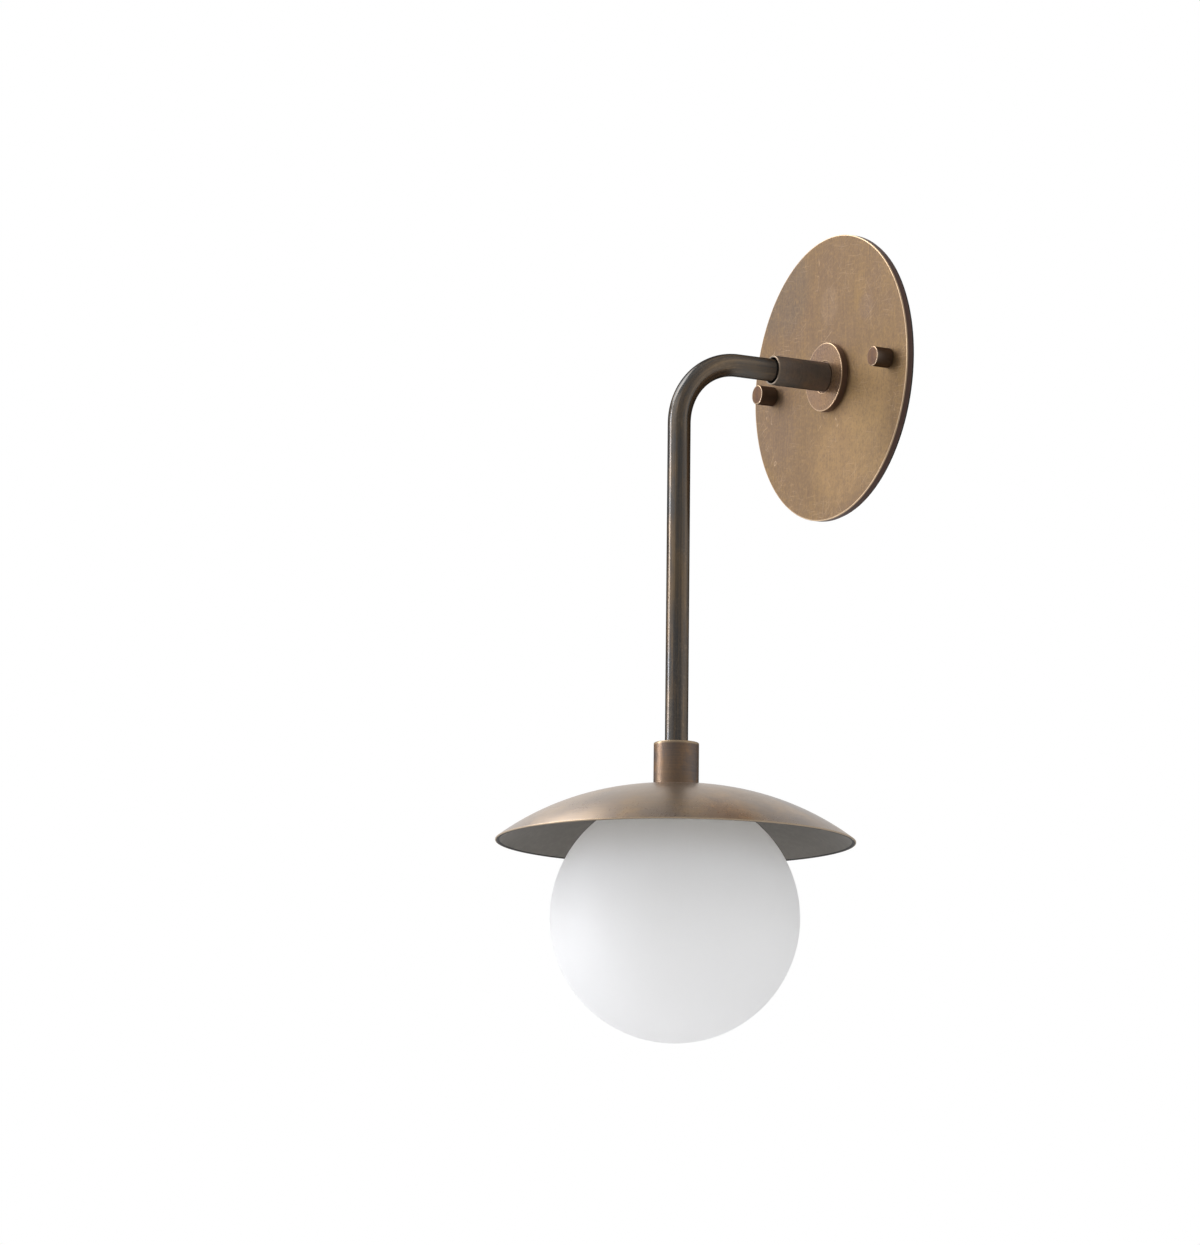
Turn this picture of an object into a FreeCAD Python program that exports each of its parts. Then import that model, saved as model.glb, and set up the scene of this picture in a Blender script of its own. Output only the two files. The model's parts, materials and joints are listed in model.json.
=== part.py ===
import FreeCAD, Part
import math
import os
import re
import Sketcher
from FreeCAD import Placement, Rotation, Vector

# Wall sconce: a bent brass arm on a round backplate carries a shallow dome and an opal glass globe.
# Millimetres. The wall is the plane y = 0 and the room lies towards -Y. +X is to the right of somebody
# who faces the wall, +Z is up, and the origin is on the wall in the middle of the backplate.

SIZES = {
    # Fits and edges that several pieces share
    "thread_clearance": 0.05,
    "seat_gap": 0.1,
    "overrun": 1.0,
    "worn_edge": 0.4,
    # Gasket and backplate
    "gasket_thickness": 0.85,
    "gasket_setback": 0.5,
    "gasket_width": 8.0,
    "plate_radius": 63.5,
    "plate_thickness": 3.0,
    # Disc and sleeve at the foot of the arm
    "disc_radius": 15.25,
    "disc_thickness": 3.1,
    "sleeve_length": 26.6,
    "sleeve_mouth_depth": 9.5,
    "sleeve_gap": 0.65,
    "sleeve_wall": 0.85,
    # Arm tube, which has the same outside thread as the nipples
    "tube_radius": 5.0,
    "tube_wall": 1.0,
    "bend_radius": 29.0,
    "arm_reach": 80.3,
    "arm_drop": 169.0,
    # Nipple, washer, nut and bush behind the plate
    "nipple_wall": 1.1,
    "nipple_behind_plate": 5.25,
    "nipple_in_sleeve": 8.6,
    "nipple_tube_space": 0.4,
    "washer_margin": 5.0,
    "washer_thickness": 1.0,
    "lock_nut_flats": 14.0,
    "lock_nut_thickness": 3.0,
    "bushing_flange": 0.8,
    "bushing_depth": 5.0,
    "bushing_wall": 1.0,
    # Collar and nipple over the dome
    "collar_radius": 9.75,
    "collar_length": 19.0,
    "tube_in_collar": 9.0,
    # Dome
    "dome_radius": 78.0,
    "dome_height": 24.0,
    "dome_flat_radius": 10.5,
    "dome_crown_radius": 118.0,
    "dome_thickness": 1.2,
    # Globe holder, a cup with an outside thread
    "holder_radius": 17.0,
    "holder_wall": 1.8,
    "holder_boss_radius": 10.0,
    "holder_boss_height": 1.2,
    "holder_skirt_length": 17.0,
    "holder_roof": 3.4,
    # Globe and its washer
    "globe_radius": 53.5,
    "globe_thickness": 2.8,
    "globe_lip_height": 3.83,
    "globe_lip_wall": 3.0,
    "globe_thread_play": 0.3,
    "globe_washer_thickness": 0.6,
    # Lampholder, which takes a plug-in lamp with two wire loops
    "lampholder_radius": 11.3,
    "lampholder_length": 24.0,
    "lead_well_radius": 7.0,
    "lead_well_depth": 5.0,
    "lead_hole_play": 0.2,
    "contact_web": 2.0,
    "contact_offset": 4.5,
    "contact_width": 3.4,
    "contact_depth": 2.2,
    "contact_length": 7.2,
    "contact_sheet": 0.6,
    "contact_play": 0.3,
    "lamp_slot_width": 16.2,
    "lamp_slot_depth": 6.4,
    "lamp_slot_length": 9.5,
    "lampholder_screw_offset": 7.5,
    "lampholder_screw_radius": 1.5,
    "lampholder_head_radius": 2.7,
    "lampholder_head_height": 2.0,
    "lampholder_head_seat": 6.0,
    "lampholder_screw_bite": 2.2,
    "screw_slot_width": 0.8,
    # Lamp
    "lamp_play": 0.4,
    "lamp_collar_radius": 8.3,
    "lamp_collar_height": 4.0,
    "lamp_cover_radius": 8.0,
    "lamp_cover_length": 40.0,
    "lamp_cover_wall": 1.0,
    "lamp_board_width": 10.0,
    "lamp_board_thickness": 1.2,
    "lamp_board_length": 32.0,
    "pin_radius": 0.4,
    "pin_loop_radius": 0.9,
    "pin_length": 5.5,
    # Strap on the wall box, studs and barrel nuts
    "bracket_width": 22.0,
    "bracket_thickness": 2.0,
    "bracket_recess": 3.6,
    "bracket_tab_gap": 0.3,
    "bracket_tab_outer": 4.7,
    "bracket_tab_inner": 4.8,
    "bracket_slope": 2.0,
    "bracket_hole_margin": 2.0,
    "box_screw_offset": 34.925,
    "box_slot_radius": 2.4,
    "box_slot_straight": 6.2,
    "stud_offset": 48.3,
    "stud_radius": 2.0,
    "stud_tail": 0.8,
    "stud_nut_flats": 7.0,
    "stud_nut_thickness": 2.2,
    "barrel_radius": 4.3,
    "barrel_length": 8.1,
    "barrel_roof": 1.5,
    "stud_end_space": 0.3,
    # Terminal block on the strap
    "block_offset": 11.0,
    "block_depth": 14.0,
    "block_height": 11.0,
    "block_end": 4.5,
    "pole_pitch": 8.0,
    "pole_height": 4.5,
    "block_notch_width": 1.2,
    "block_notch_depth": 3.0,
    "insert_radius": 2.3,
    "insert_bore_radius": 1.5,
    "insert_inset": 1.0,
    "clamp_screw_radius": 1.3,
    "clamp_screw_offset": 3.2,
    "clamp_well_play": 0.5,
    "clamp_screw_inset": 0.8,
    "block_screw_radius": 1.25,
    "block_head_radius": 2.1,
    "block_head_height": 1.4,
    "block_seat_margin": 0.3,
    # Earth screw and tag
    "earth_offset": 16.0,
    "earth_head_radius": 3.6,
    "earth_head_height": 2.4,
    "earth_screw_length": 6.0,
    "tag_radius": 3.8,
    "tag_thickness": 0.8,
    "tag_tongue": 1.5,
    "tag_overlap": 1.2,
    "tag_barrel_length": 5.0,
    "tag_barrel_wall": 0.5,
    # Leads
    "lead_radius": 0.8,
    "lead_offset": 1.4,
    "lead_bend_radius": 3.0,
    "lead_stub": 2.7,
    "lead_gather": 4.5,
    "lead_turn_depth": 7.0,
    "lead_fan": 6.5,
    "lead_grip": 5.0,
}

doc = FreeCAD.newDocument("wall_sconce")
sheet = doc.addObject("Spreadsheet::Sheet", "Sizes")
for row, (alias, number) in enumerate(SIZES.items(), 1):
    sheet.set(f"A{row}", alias)
    sheet.set(f"B{row}", str(number))
    sheet.setAlias(f"B{row}", alias)
doc.recompute()

# Distances from the wall, towards the room
PLATE_FACE = "(gasket_thickness + plate_thickness)"
DISC_FACE = f"({PLATE_FACE} + disc_thickness)"
NIPPLE_REAR = "(gasket_thickness - nipple_behind_plate)"
NIPPLE_FRONT = f"({DISC_FACE} + nipple_in_sleeve)"
TUBE_START = f"({NIPPLE_FRONT} + nipple_tube_space)"
STUD_FRONT = f"({PLATE_FACE} + seat_gap + barrel_length - barrel_roof - stud_end_space)"
# Distances behind the wall's face
BRACKET_BACK = "(bracket_recess + bracket_thickness)"
TAB_BACK = "(bracket_tab_gap + bracket_thickness)"
POLE_DEPTH = f"({BRACKET_BACK} + pole_height)"
# Distances down from the arm's axis
DOME_TOP = "(arm_drop + collar_length)"
DOME_RIM = f"({DOME_TOP} + dome_height)"
HOLDER_TOP = f"({DOME_TOP} + dome_thickness)"
HOLDER_SHOULDER = f"({HOLDER_TOP} + holder_boss_height)"
HOLDER_ROOF = f"({HOLDER_TOP} + holder_roof)"
HOLDER_END = f"({HOLDER_SHOULDER} + holder_skirt_length)"
GLOBE_LIP = f"({HOLDER_SHOULDER} + globe_washer_thickness + 2 * seat_gap)"
LAMPHOLDER_END = f"({HOLDER_ROOF} + lampholder_length)"
CONTACT_TOP = f"({HOLDER_ROOF} + lead_well_depth + contact_web)"
LAMP_COLLAR_TOP = f"({LAMPHOLDER_END} + lamp_play)"
LAMP_COLLAR_END = f"({LAMP_COLLAR_TOP} + lamp_collar_height)"
# Radii that other sizes give
THREAD_BORE = "(tube_radius + thread_clearance)"
NIPPLE_BORE = "(tube_radius - nipple_wall)"
SLEEVE_MOUTH = "(tube_radius + sleeve_gap)"
SLEEVE_RADIUS = f"({SLEEVE_MOUTH} + sleeve_wall)"
HOLDER_CAVITY = "(holder_radius - holder_wall)"
LIP_BORE = "(holder_radius + globe_thread_play)"
LIP_RADIUS = f"({LIP_BORE} + globe_lip_wall)"
STUD_BORE = "(stud_radius + thread_clearance)"
# The tag's barrel, measured from the middle of its eye and from the strap
TAG_BARREL_RADIUS = "(lead_radius + thread_clearance + tag_barrel_wall)"
TAG_BARREL_AXIS = f"({TAG_BARREL_RADIUS} + thread_clearance)"
TAG_MOUTH = "(tag_radius + tag_tongue + tag_barrel_length)"
# The block's fixing screws bear just above its metal inserts
BLOCK_SCREW_SEAT = "(pole_height + insert_radius + block_seat_margin)"

UPRIGHT = Rotation()
OUTWARD = Rotation(Vector(1, 0, 0), 90)
BEHIND = Rotation(Vector(1, 0, 0), -90)
TOWARDS_RIGHT = Rotation(Vector(0, 1, 0), 90)
OUT_AND_DOWN = Rotation(Vector(1, 0, 0), 180)


def cells(formula):
    """The formula with each size's name pointing at its cell of the sheet."""
    return re.sub(r"[a-z][a-z_]+", lambda word: f"Sizes.{word[0]}" if word[0] in SIZES else word[0], formula)


def size(formula):
    """The formula's number of millimetres."""
    return float(sheet.evalExpression(formula))


def bind(thing, **formulas):
    for field, formula in formulas.items():
        thing.setExpression(field, cells(formula))


def place(thing, turn=UPRIGHT, right="0", out="0", drop="0"):
    """Put a piece's own origin this far right of the arm's axis, out of the wall and below the arm."""
    thing.Placement = Placement(Vector(), turn)
    thing.setExpression("Placement.Base.x", cells(right))
    thing.setExpression("Placement.Base.y", cells(f"-({out})"))
    thing.setExpression("Placement.Base.z", cells(f"-({drop})"))
    return thing


# Part primitives and booleans

def shift(thing, x="0", y="0", z="0"):
    """Move a primitive within its piece."""
    thing.setExpression("Placement.Base.x", cells(x))
    thing.setExpression("Placement.Base.y", cells(y))
    thing.setExpression("Placement.Base.z", cells(z))
    return thing


def cylinder(name, radius, height, x="0", y="0", z="0"):
    thing = doc.addObject("Part::Cylinder", name)
    bind(thing, Radius=radius, Height=height)
    return shift(thing, x, y, z)


def block(name, width, depth, height, x="0", y="0", z="0"):
    """A box centred on x and y, with its floor at z."""
    thing = doc.addObject("Part::Box", name)
    bind(thing, Length=width, Width=depth, Height=height)
    return shift(thing, f"{x} - ({width}) / 2", f"{y} - ({depth}) / 2", z)


def hexagon(name, flats, height):
    thing = doc.addObject("Part::Prism", name)
    thing.Polygon = 6
    bind(thing, Circumradius=f"{flats} / 2 / cos(30)", Height=height)
    return thing


def joined(name, shapes):
    thing = doc.addObject("Part::MultiFuse", name)
    thing.Shapes = shapes
    return thing


def cut(name, base, tools):
    thing = doc.addObject("Part::Cut", name)
    thing.Base = base
    thing.Tool = tools[0] if len(tools) == 1 else joined(f"{name}_tools", tools)
    return thing


def group(name, copies):
    """Identical fasteners as one node of separate solids."""
    thing = doc.addObject("Part::Compound", name)
    thing.Links = copies
    return thing


def ring(name, outer, inner, height):
    return cut(name, cylinder(f"{name}_outside", outer, height),
               [cylinder(f"{name}_bore", inner, f"{height} + 2 * overrun", z="-overrun")])


def slotted_screw(name, radius, length, head_radius, head_height):
    """A screw that points up its own Z axis from a slotted head below z = 0."""
    body = joined(f"{name}_blank", [
        cylinder(f"{name}_thread", radius, f"{length} + {head_height} / 2", z=f"-{head_height} / 2"),
        cylinder(f"{name}_head", head_radius, head_height, z=f"-({head_height})")])
    slot = block(f"{name}_slot", f"2 * {head_radius} + overrun", "screw_slot_width",
                 f"{head_height} / 2 + overrun", z=f"-({head_height}) - overrun")
    return cut(name, body, [slot])


# Bodies made from sketches

def new_body(name):
    return doc.addObject("PartDesign::Body", name)


def sketch_on(body, name, role, lift="0"):
    """An empty sketch on one of the body's own origin planes, lifted along the plane's normal."""
    sketch = body.newObject("Sketcher::SketchObject", name)
    plane = next(feature for feature in body.Origin.OriginFeatures if feature.Role == role)
    sketch.AttachmentSupport = [(plane, "")]
    sketch.MapMode = "FlatFace"
    sketch.setExpression("AttachmentOffset.Base.z", cells(lift))
    return sketch


def measure(sketch, kind, formula, *places):
    """Add a dimension and bind it to the sheet."""
    index = sketch.addConstraint(Sketcher.Constraint(kind, *places, size(formula)))
    sketch.setExpression(f"Constraints[{index}]", cells(formula))


def pin_point(sketch, edge, end, u, v):
    """Fix a point of an edge by its distances from the sketch's origin."""
    for kind, axis, formula in (("DistanceX", -2, u), ("DistanceY", -1, v)):
        if formula == "0":
            sketch.addConstraint(Sketcher.Constraint("PointOnObject", edge, end, axis))
        else:
            measure(sketch, kind, formula, -1, 1, edge, end)


def outline(sketch, corners):
    """Draw a closed outline of straight edges through corners given as pairs of formulas."""
    points = [Vector(size(u), size(v), 0) for u, v in corners]
    for edge, start in enumerate(points):
        sketch.addGeometry(Part.LineSegment(start, points[(edge + 1) % len(points)]))
    for edge, (u, v) in enumerate(corners):
        sketch.addConstraint(Sketcher.Constraint("Coincident", edge, 2, (edge + 1) % len(points), 1))
        pin_point(sketch, edge, 1, u, v)


def circle(sketch, radius, u="0", v="0"):
    edge = sketch.addGeometry(Part.Circle(Vector(size(u), size(v), 0), Vector(0, 0, 1), size(radius)))
    pin_point(sketch, edge, 3, u, v)
    measure(sketch, "Radius", radius, edge)


def revolve(body, sketch):
    turn = body.newObject("PartDesign::Revolution", f"{body.Name}_turned")
    turn.Profile = sketch
    turn.ReferenceAxis = (sketch, ["V_Axis"])
    turn.Angle = 360


def turned(name, corners):
    """A lathe-turned body: the outline, as radius and height, goes round the body's Z axis."""
    body = new_body(name)
    sketch = sketch_on(body, f"{name}_profile", "XZ_Plane")
    outline(sketch, corners)
    revolve(body, sketch)
    return body


def pocket_up(body, sketch, depth):
    """Cut the sketch's shape from its plane along the plane's normal."""
    pocket = body.newObject("PartDesign::Pocket", sketch.Name.replace("sketch", "pocket"))
    pocket.Profile = sketch
    pocket.Reversed = True
    bind(pocket, Length=depth)
    return pocket


def mirror_feature(body, features, role):
    """Repeat features on the other side of one of the body's origin planes."""
    mirrored = body.newObject("PartDesign::Mirrored", f"{features[-1].Name}_mirrored")
    mirrored.Originals = features
    mirrored.MirrorPlane = (next(f for f in body.Origin.OriginFeatures if f.Role == role), [""])
    body.Tip = mirrored


# Gasket and backplate

def make_backplate():
    edge = "plate_radius - gasket_setback"
    place(ring("wall_gasket", edge, f"{edge} - gasket_width", "gasket_thickness"), OUTWARD)
    plate = turned("backplate", [
        (THREAD_BORE, "0"), ("plate_radius", "0"), ("plate_radius", "plate_thickness - worn_edge"),
        ("plate_radius - worn_edge", "plate_thickness"), (THREAD_BORE, "plate_thickness")])
    sketch = sketch_on(plate, "stud_hole_sketch", "XY_Plane", "-overrun")
    circle(sketch, STUD_BORE, "stud_offset")
    hole = pocket_up(plate, sketch, "plate_thickness + 2 * overrun")
    mirror_feature(plate, [hole], "YZ_Plane")
    place(plate, OUTWARD, out="gasket_thickness")


# Foot of the arm

def make_arm_foot():
    place(turned("rosette_disc", [
        (THREAD_BORE, "0"), ("disc_radius", "0"), ("disc_radius", "disc_thickness - worn_edge"),
        ("disc_radius - worn_edge", "disc_thickness"), (THREAD_BORE, "disc_thickness")]),
        OUTWARD, out=PLATE_FACE)
    place(turned("arm_sleeve", [
        (THREAD_BORE, "0"), (SLEEVE_RADIUS, "0"), (SLEEVE_RADIUS, "sleeve_length - worn_edge"),
        (f"{SLEEVE_RADIUS} - worn_edge", "sleeve_length"), (SLEEVE_MOUTH, "sleeve_length"),
        (SLEEVE_MOUTH, "sleeve_length - sleeve_mouth_depth"),
        (THREAD_BORE, "sleeve_length - sleeve_mouth_depth")]),
        OUTWARD, out=DISC_FACE)
    place(ring("arm_nipple", "tube_radius", NIPPLE_BORE, f"{NIPPLE_FRONT} - {NIPPLE_REAR}"),
          OUTWARD, out=NIPPLE_REAR)
    place(ring("arm_washer", f"{THREAD_BORE} + washer_margin", THREAD_BORE, "washer_thickness"),
          OUTWARD, out="gasket_thickness - washer_thickness")
    nut = cut("arm_lock_nut", hexagon("arm_lock_nut_blank", "lock_nut_flats", "lock_nut_thickness"),
              [cylinder("arm_lock_nut_bore", THREAD_BORE, "lock_nut_thickness + 2 * overrun", z="-overrun")])
    place(nut, OUTWARD, out="gasket_thickness - washer_thickness - lock_nut_thickness")
    bush_body = f"({NIPPLE_BORE} - thread_clearance)"
    bush_bore = f"({bush_body} - bushing_wall)"
    place(turned("nipple_bushing", [
        (bush_bore, "0"), ("tube_radius", "0"), ("tube_radius", "bushing_flange"),
        (bush_body, "bushing_flange"), (bush_body, "bushing_flange + bushing_depth"),
        (bush_bore, "bushing_flange + bushing_depth")]),
        OUTWARD, out=f"{NIPPLE_REAR} - bushing_flange")


# Arm tube: out of the wall, round one bend, and straight down into the collar

def make_arm_tube():
    body = new_body("arm_tube")
    end_u = f"(arm_reach - {TUBE_START})"
    end_v = "(arm_drop + tube_in_collar)"
    bend = size("bend_radius")
    across = size(end_u)
    down = size(end_v)
    spine = sketch_on(body, "arm_spine", "YZ_Plane")
    spine.addGeometry(Part.LineSegment(Vector(0, 0, 0), Vector(across - bend, 0, 0)))
    spine.addGeometry(Part.ArcOfCircle(
        Part.Circle(Vector(across - bend, bend, 0), Vector(0, 0, 1), bend), -math.pi / 2, 0))
    spine.addGeometry(Part.LineSegment(Vector(across, bend, 0), Vector(across, down, 0)))
    spine.addConstraint(Sketcher.Constraint("Coincident", 0, 1, -1, 1))
    spine.addConstraint(Sketcher.Constraint("Horizontal", 0))
    spine.addConstraint(Sketcher.Constraint("Tangent", 0, 2, 1, 1))
    spine.addConstraint(Sketcher.Constraint("Tangent", 1, 2, 2, 1))
    spine.addConstraint(Sketcher.Constraint("Vertical", 2))
    measure(spine, "Radius", "bend_radius", 1)
    pin_point(spine, 2, 2, end_u, end_v)
    section = sketch_on(body, "arm_section", "XZ_Plane")
    circle(section, "tube_radius")
    circle(section, "tube_radius - tube_wall")
    pipe = body.newObject("PartDesign::AdditivePipe", "arm_pipe")
    pipe.Profile = section
    pipe.Spine = (spine, ["Edge1", "Edge2", "Edge3"])
    place(body, OUT_AND_DOWN, out=TUBE_START)


# Collar, nipple and dome

def make_shade():
    place(turned("shade_collar", [
        (THREAD_BORE, "0"), ("collar_radius", "0"), ("collar_radius", "collar_length - worn_edge"),
        ("collar_radius - worn_edge", "collar_length"), (THREAD_BORE, "collar_length")]),
        out="arm_reach", drop=DOME_TOP)
    nipple_end = f"({HOLDER_ROOF} + nipple_tube_space)"
    nipple_top = "(arm_drop + tube_in_collar + nipple_tube_space)"
    place(ring("shade_nipple", "tube_radius", NIPPLE_BORE, f"{nipple_end} - {nipple_top}"),
          out="arm_reach", drop=nipple_end)
    body = new_body("dome_shade")
    sketch = sketch_on(body, "dome_profile", "XZ_Plane")
    crown = size("dome_crown_radius")
    rim = Vector(size("dome_radius"), 0, 0)
    shoulder = Vector(size("dome_flat_radius"), size("dome_height"), 0)
    chord = shoulder - rim
    below = Vector(chord.y, -chord.x, 0).normalize() * -1
    centre = (rim + shoulder) * 0.5 + below * math.sqrt(crown ** 2 - (chord.Length / 2) ** 2)
    inner = crown - size("dome_thickness")
    bore = size(THREAD_BORE)
    top = size("dome_height")
    under = size("dome_height - dome_thickness")
    inner_rim_angle = math.asin(-centre.y / inner)
    inner_top_angle = math.asin((under - centre.y) / inner)
    sheet_rim = centre + Vector(math.cos(inner_rim_angle), math.sin(inner_rim_angle), 0) * inner
    sheet_top = centre + Vector(math.cos(inner_top_angle), math.sin(inner_top_angle), 0) * inner
    outer_rim_angle = math.atan2(rim.y - centre.y, rim.x - centre.x)
    outer_top_angle = math.atan2(shoulder.y - centre.y, shoulder.x - centre.x)
    axis = Vector(0, 0, 1)
    sketch.addGeometry(Part.ArcOfCircle(Part.Circle(centre, axis, crown), outer_rim_angle, outer_top_angle))
    sketch.addGeometry(Part.LineSegment(shoulder, Vector(bore, top, 0)))
    sketch.addGeometry(Part.LineSegment(Vector(bore, top, 0), Vector(bore, under, 0)))
    sketch.addGeometry(Part.LineSegment(Vector(bore, under, 0), sheet_top))
    sketch.addGeometry(Part.ArcOfCircle(Part.Circle(centre, axis, inner), inner_rim_angle, inner_top_angle))
    sketch.addGeometry(Part.LineSegment(sheet_rim, rim))
    for edge, end, other, start in ((0, 2, 1, 1), (1, 2, 2, 1), (2, 2, 3, 1), (3, 2, 4, 2), (4, 1, 5, 1),
                                    (5, 2, 0, 1), (4, 3, 0, 3)):
        sketch.addConstraint(Sketcher.Constraint("Coincident", edge, end, other, start))
    sketch.addConstraint(Sketcher.Constraint("Horizontal", 3))
    sketch.addConstraint(Sketcher.Constraint("Horizontal", 5))
    pin_point(sketch, 0, 1, "dome_radius", "0")
    pin_point(sketch, 0, 2, "dome_flat_radius", "dome_height")
    pin_point(sketch, 2, 1, THREAD_BORE, "dome_height")
    pin_point(sketch, 2, 2, THREAD_BORE, "dome_height - dome_thickness")
    measure(sketch, "Radius", "dome_crown_radius", 0)
    measure(sketch, "Radius", "dome_crown_radius - dome_thickness", 4)
    revolve(body, sketch)
    place(body, out="arm_reach", drop=DOME_RIM)


# Globe holder, washer and globe

def make_globe():
    roof = "(holder_skirt_length + holder_boss_height - holder_roof)"
    top = "(holder_skirt_length + holder_boss_height)"
    holder = turned("globe_holder", [
        (HOLDER_CAVITY, "0"), ("holder_radius", "0"), ("holder_radius", "holder_skirt_length"),
        ("holder_boss_radius", "holder_skirt_length"), ("holder_boss_radius", top), (THREAD_BORE, top),
        (THREAD_BORE, roof), (HOLDER_CAVITY, roof)])
    sketch = sketch_on(holder, "holder_screw_sketch", "XY_Plane", roof)
    circle(sketch, "lampholder_screw_radius + thread_clearance", v="lampholder_screw_offset")
    hole = pocket_up(holder, sketch, "lampholder_screw_bite + stud_end_space")
    mirror_feature(holder, [hole], "XZ_Plane")
    place(holder, out="arm_reach", drop=HOLDER_END)
    place(ring("globe_washer", LIP_RADIUS, LIP_BORE, "globe_washer_thickness"),
          out="arm_reach", drop=f"{HOLDER_SHOULDER} + seat_gap + globe_washer_thickness")
    # The ball hangs below its lip by the height of the ball's cap inside the lip
    centre = f"(globe_lip_height + sqrt(globe_radius * globe_radius - {LIP_RADIUS} * {LIP_RADIUS}))"
    ball = doc.addObject("Part::Sphere", "globe_outside")
    bind(ball, Radius="globe_radius")
    hollow = doc.addObject("Part::Sphere", "globe_inside")
    bind(hollow, Radius="globe_radius - globe_thickness")
    lip = cylinder("globe_lip", LIP_RADIUS, f"{centre} - globe_radius / 2", z="globe_radius / 2")
    bore = cylinder("globe_bore", LIP_BORE, f"{centre} + overrun")
    glass = cut("opal_globe", joined("globe_blank", [ball, lip]), [hollow, bore])
    place(glass, out="arm_reach", drop=f"{GLOBE_LIP} + {centre}")


# Lampholder

def make_lampholder():
    body = new_body("lampholder_body")
    base = sketch_on(body, "lampholder_section", "XY_Plane")
    circle(base, "lampholder_radius")
    pad = body.newObject("PartDesign::Pad", "lampholder_pad")
    pad.Profile = base
    bind(pad, Length="lampholder_length")
    well = sketch_on(body, "lead_well_sketch", "XY_Plane", "lampholder_length - lead_well_depth")
    circle(well, "lead_well_radius")
    pocket_up(body, well, "lead_well_depth + overrun")
    mouth = sketch_on(body, "lamp_slot_sketch", "XY_Plane", "-overrun")
    half_width = "lamp_slot_width / 2"
    half_depth = "lamp_slot_depth / 2"
    outline(mouth, [(half_width, half_depth), (f"-{half_width}", half_depth),
                    (f"-{half_width}", f"-{half_depth}"), (half_width, f"-{half_depth}")])
    pocket_up(body, mouth, "lamp_slot_length + overrun")
    web = "(lampholder_length - lead_well_depth - contact_web)"
    chamber = sketch_on(body, "contact_chamber_sketch", "XY_Plane", "lamp_slot_length - overrun")
    outer = "contact_offset + contact_width / 2 + contact_play"
    inner = "contact_offset - contact_width / 2 - contact_play"
    side = "(contact_depth / 2 + contact_play)"
    outline(chamber, [(outer, side), (inner, side), (inner, f"-{side}"), (outer, f"-{side}")])
    chamber_pocket = pocket_up(body, chamber, f"{web} - lamp_slot_length + overrun")
    mirror_feature(body, [chamber_pocket], "YZ_Plane")
    hole = sketch_on(body, "lead_hole_sketch", "XY_Plane", f"{web} - overrun")
    circle(hole, "lead_radius + lead_hole_play", "contact_offset")
    hole_pocket = pocket_up(body, hole, "contact_web + 2 * overrun")
    mirror_feature(body, [hole_pocket], "YZ_Plane")
    seat = sketch_on(body, "screw_head_sketch", "XY_Plane", "-overrun")
    circle(seat, "lampholder_head_radius + contact_play", v="lampholder_screw_offset")
    seat_pocket = pocket_up(body, seat, "lampholder_length - lampholder_head_seat + overrun")
    shank = sketch_on(body, "screw_shank_sketch", "XY_Plane", "-overrun")
    circle(shank, "lampholder_screw_radius + thread_clearance", v="lampholder_screw_offset")
    shank_pocket = pocket_up(body, shank, "lampholder_length + 2 * overrun")
    mirror_feature(body, [seat_pocket, shank_pocket], "XZ_Plane")
    place(body, out="arm_reach", drop=LAMPHOLDER_END)
    screws = []
    for side_name, sign in (("front", "-"), ("back", "")):
        screw = slotted_screw(f"lampholder_screw_{side_name}", "lampholder_screw_radius",
                              "(lampholder_head_seat + lampholder_screw_bite)",
                              "lampholder_head_radius", "lampholder_head_height")
        screws.append(shift(screw, y=f"{sign}lampholder_screw_offset"))
    place(group("lampholder_screws", screws), out="arm_reach", drop=f"{HOLDER_ROOF} + lampholder_head_seat")
    clips = []
    for side_name, sign in (("left", "-"), ("right", "")):
        x = f"{sign}contact_offset"
        clip = block(f"contact_{side_name}_strip", "contact_width", "contact_depth", "contact_length", x)
        gap = block(f"contact_{side_name}_gap", "contact_width + overrun",
                    "contact_depth - 2 * contact_sheet", "contact_length - contact_sheet + overrun",
                    x, z="-overrun")
        clips.append(cut(f"contact_{side_name}", clip, [gap]))
    place(group("lamp_contacts", clips), out="arm_reach", drop=f"{CONTACT_TOP} + contact_length")


# Lamp

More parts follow.
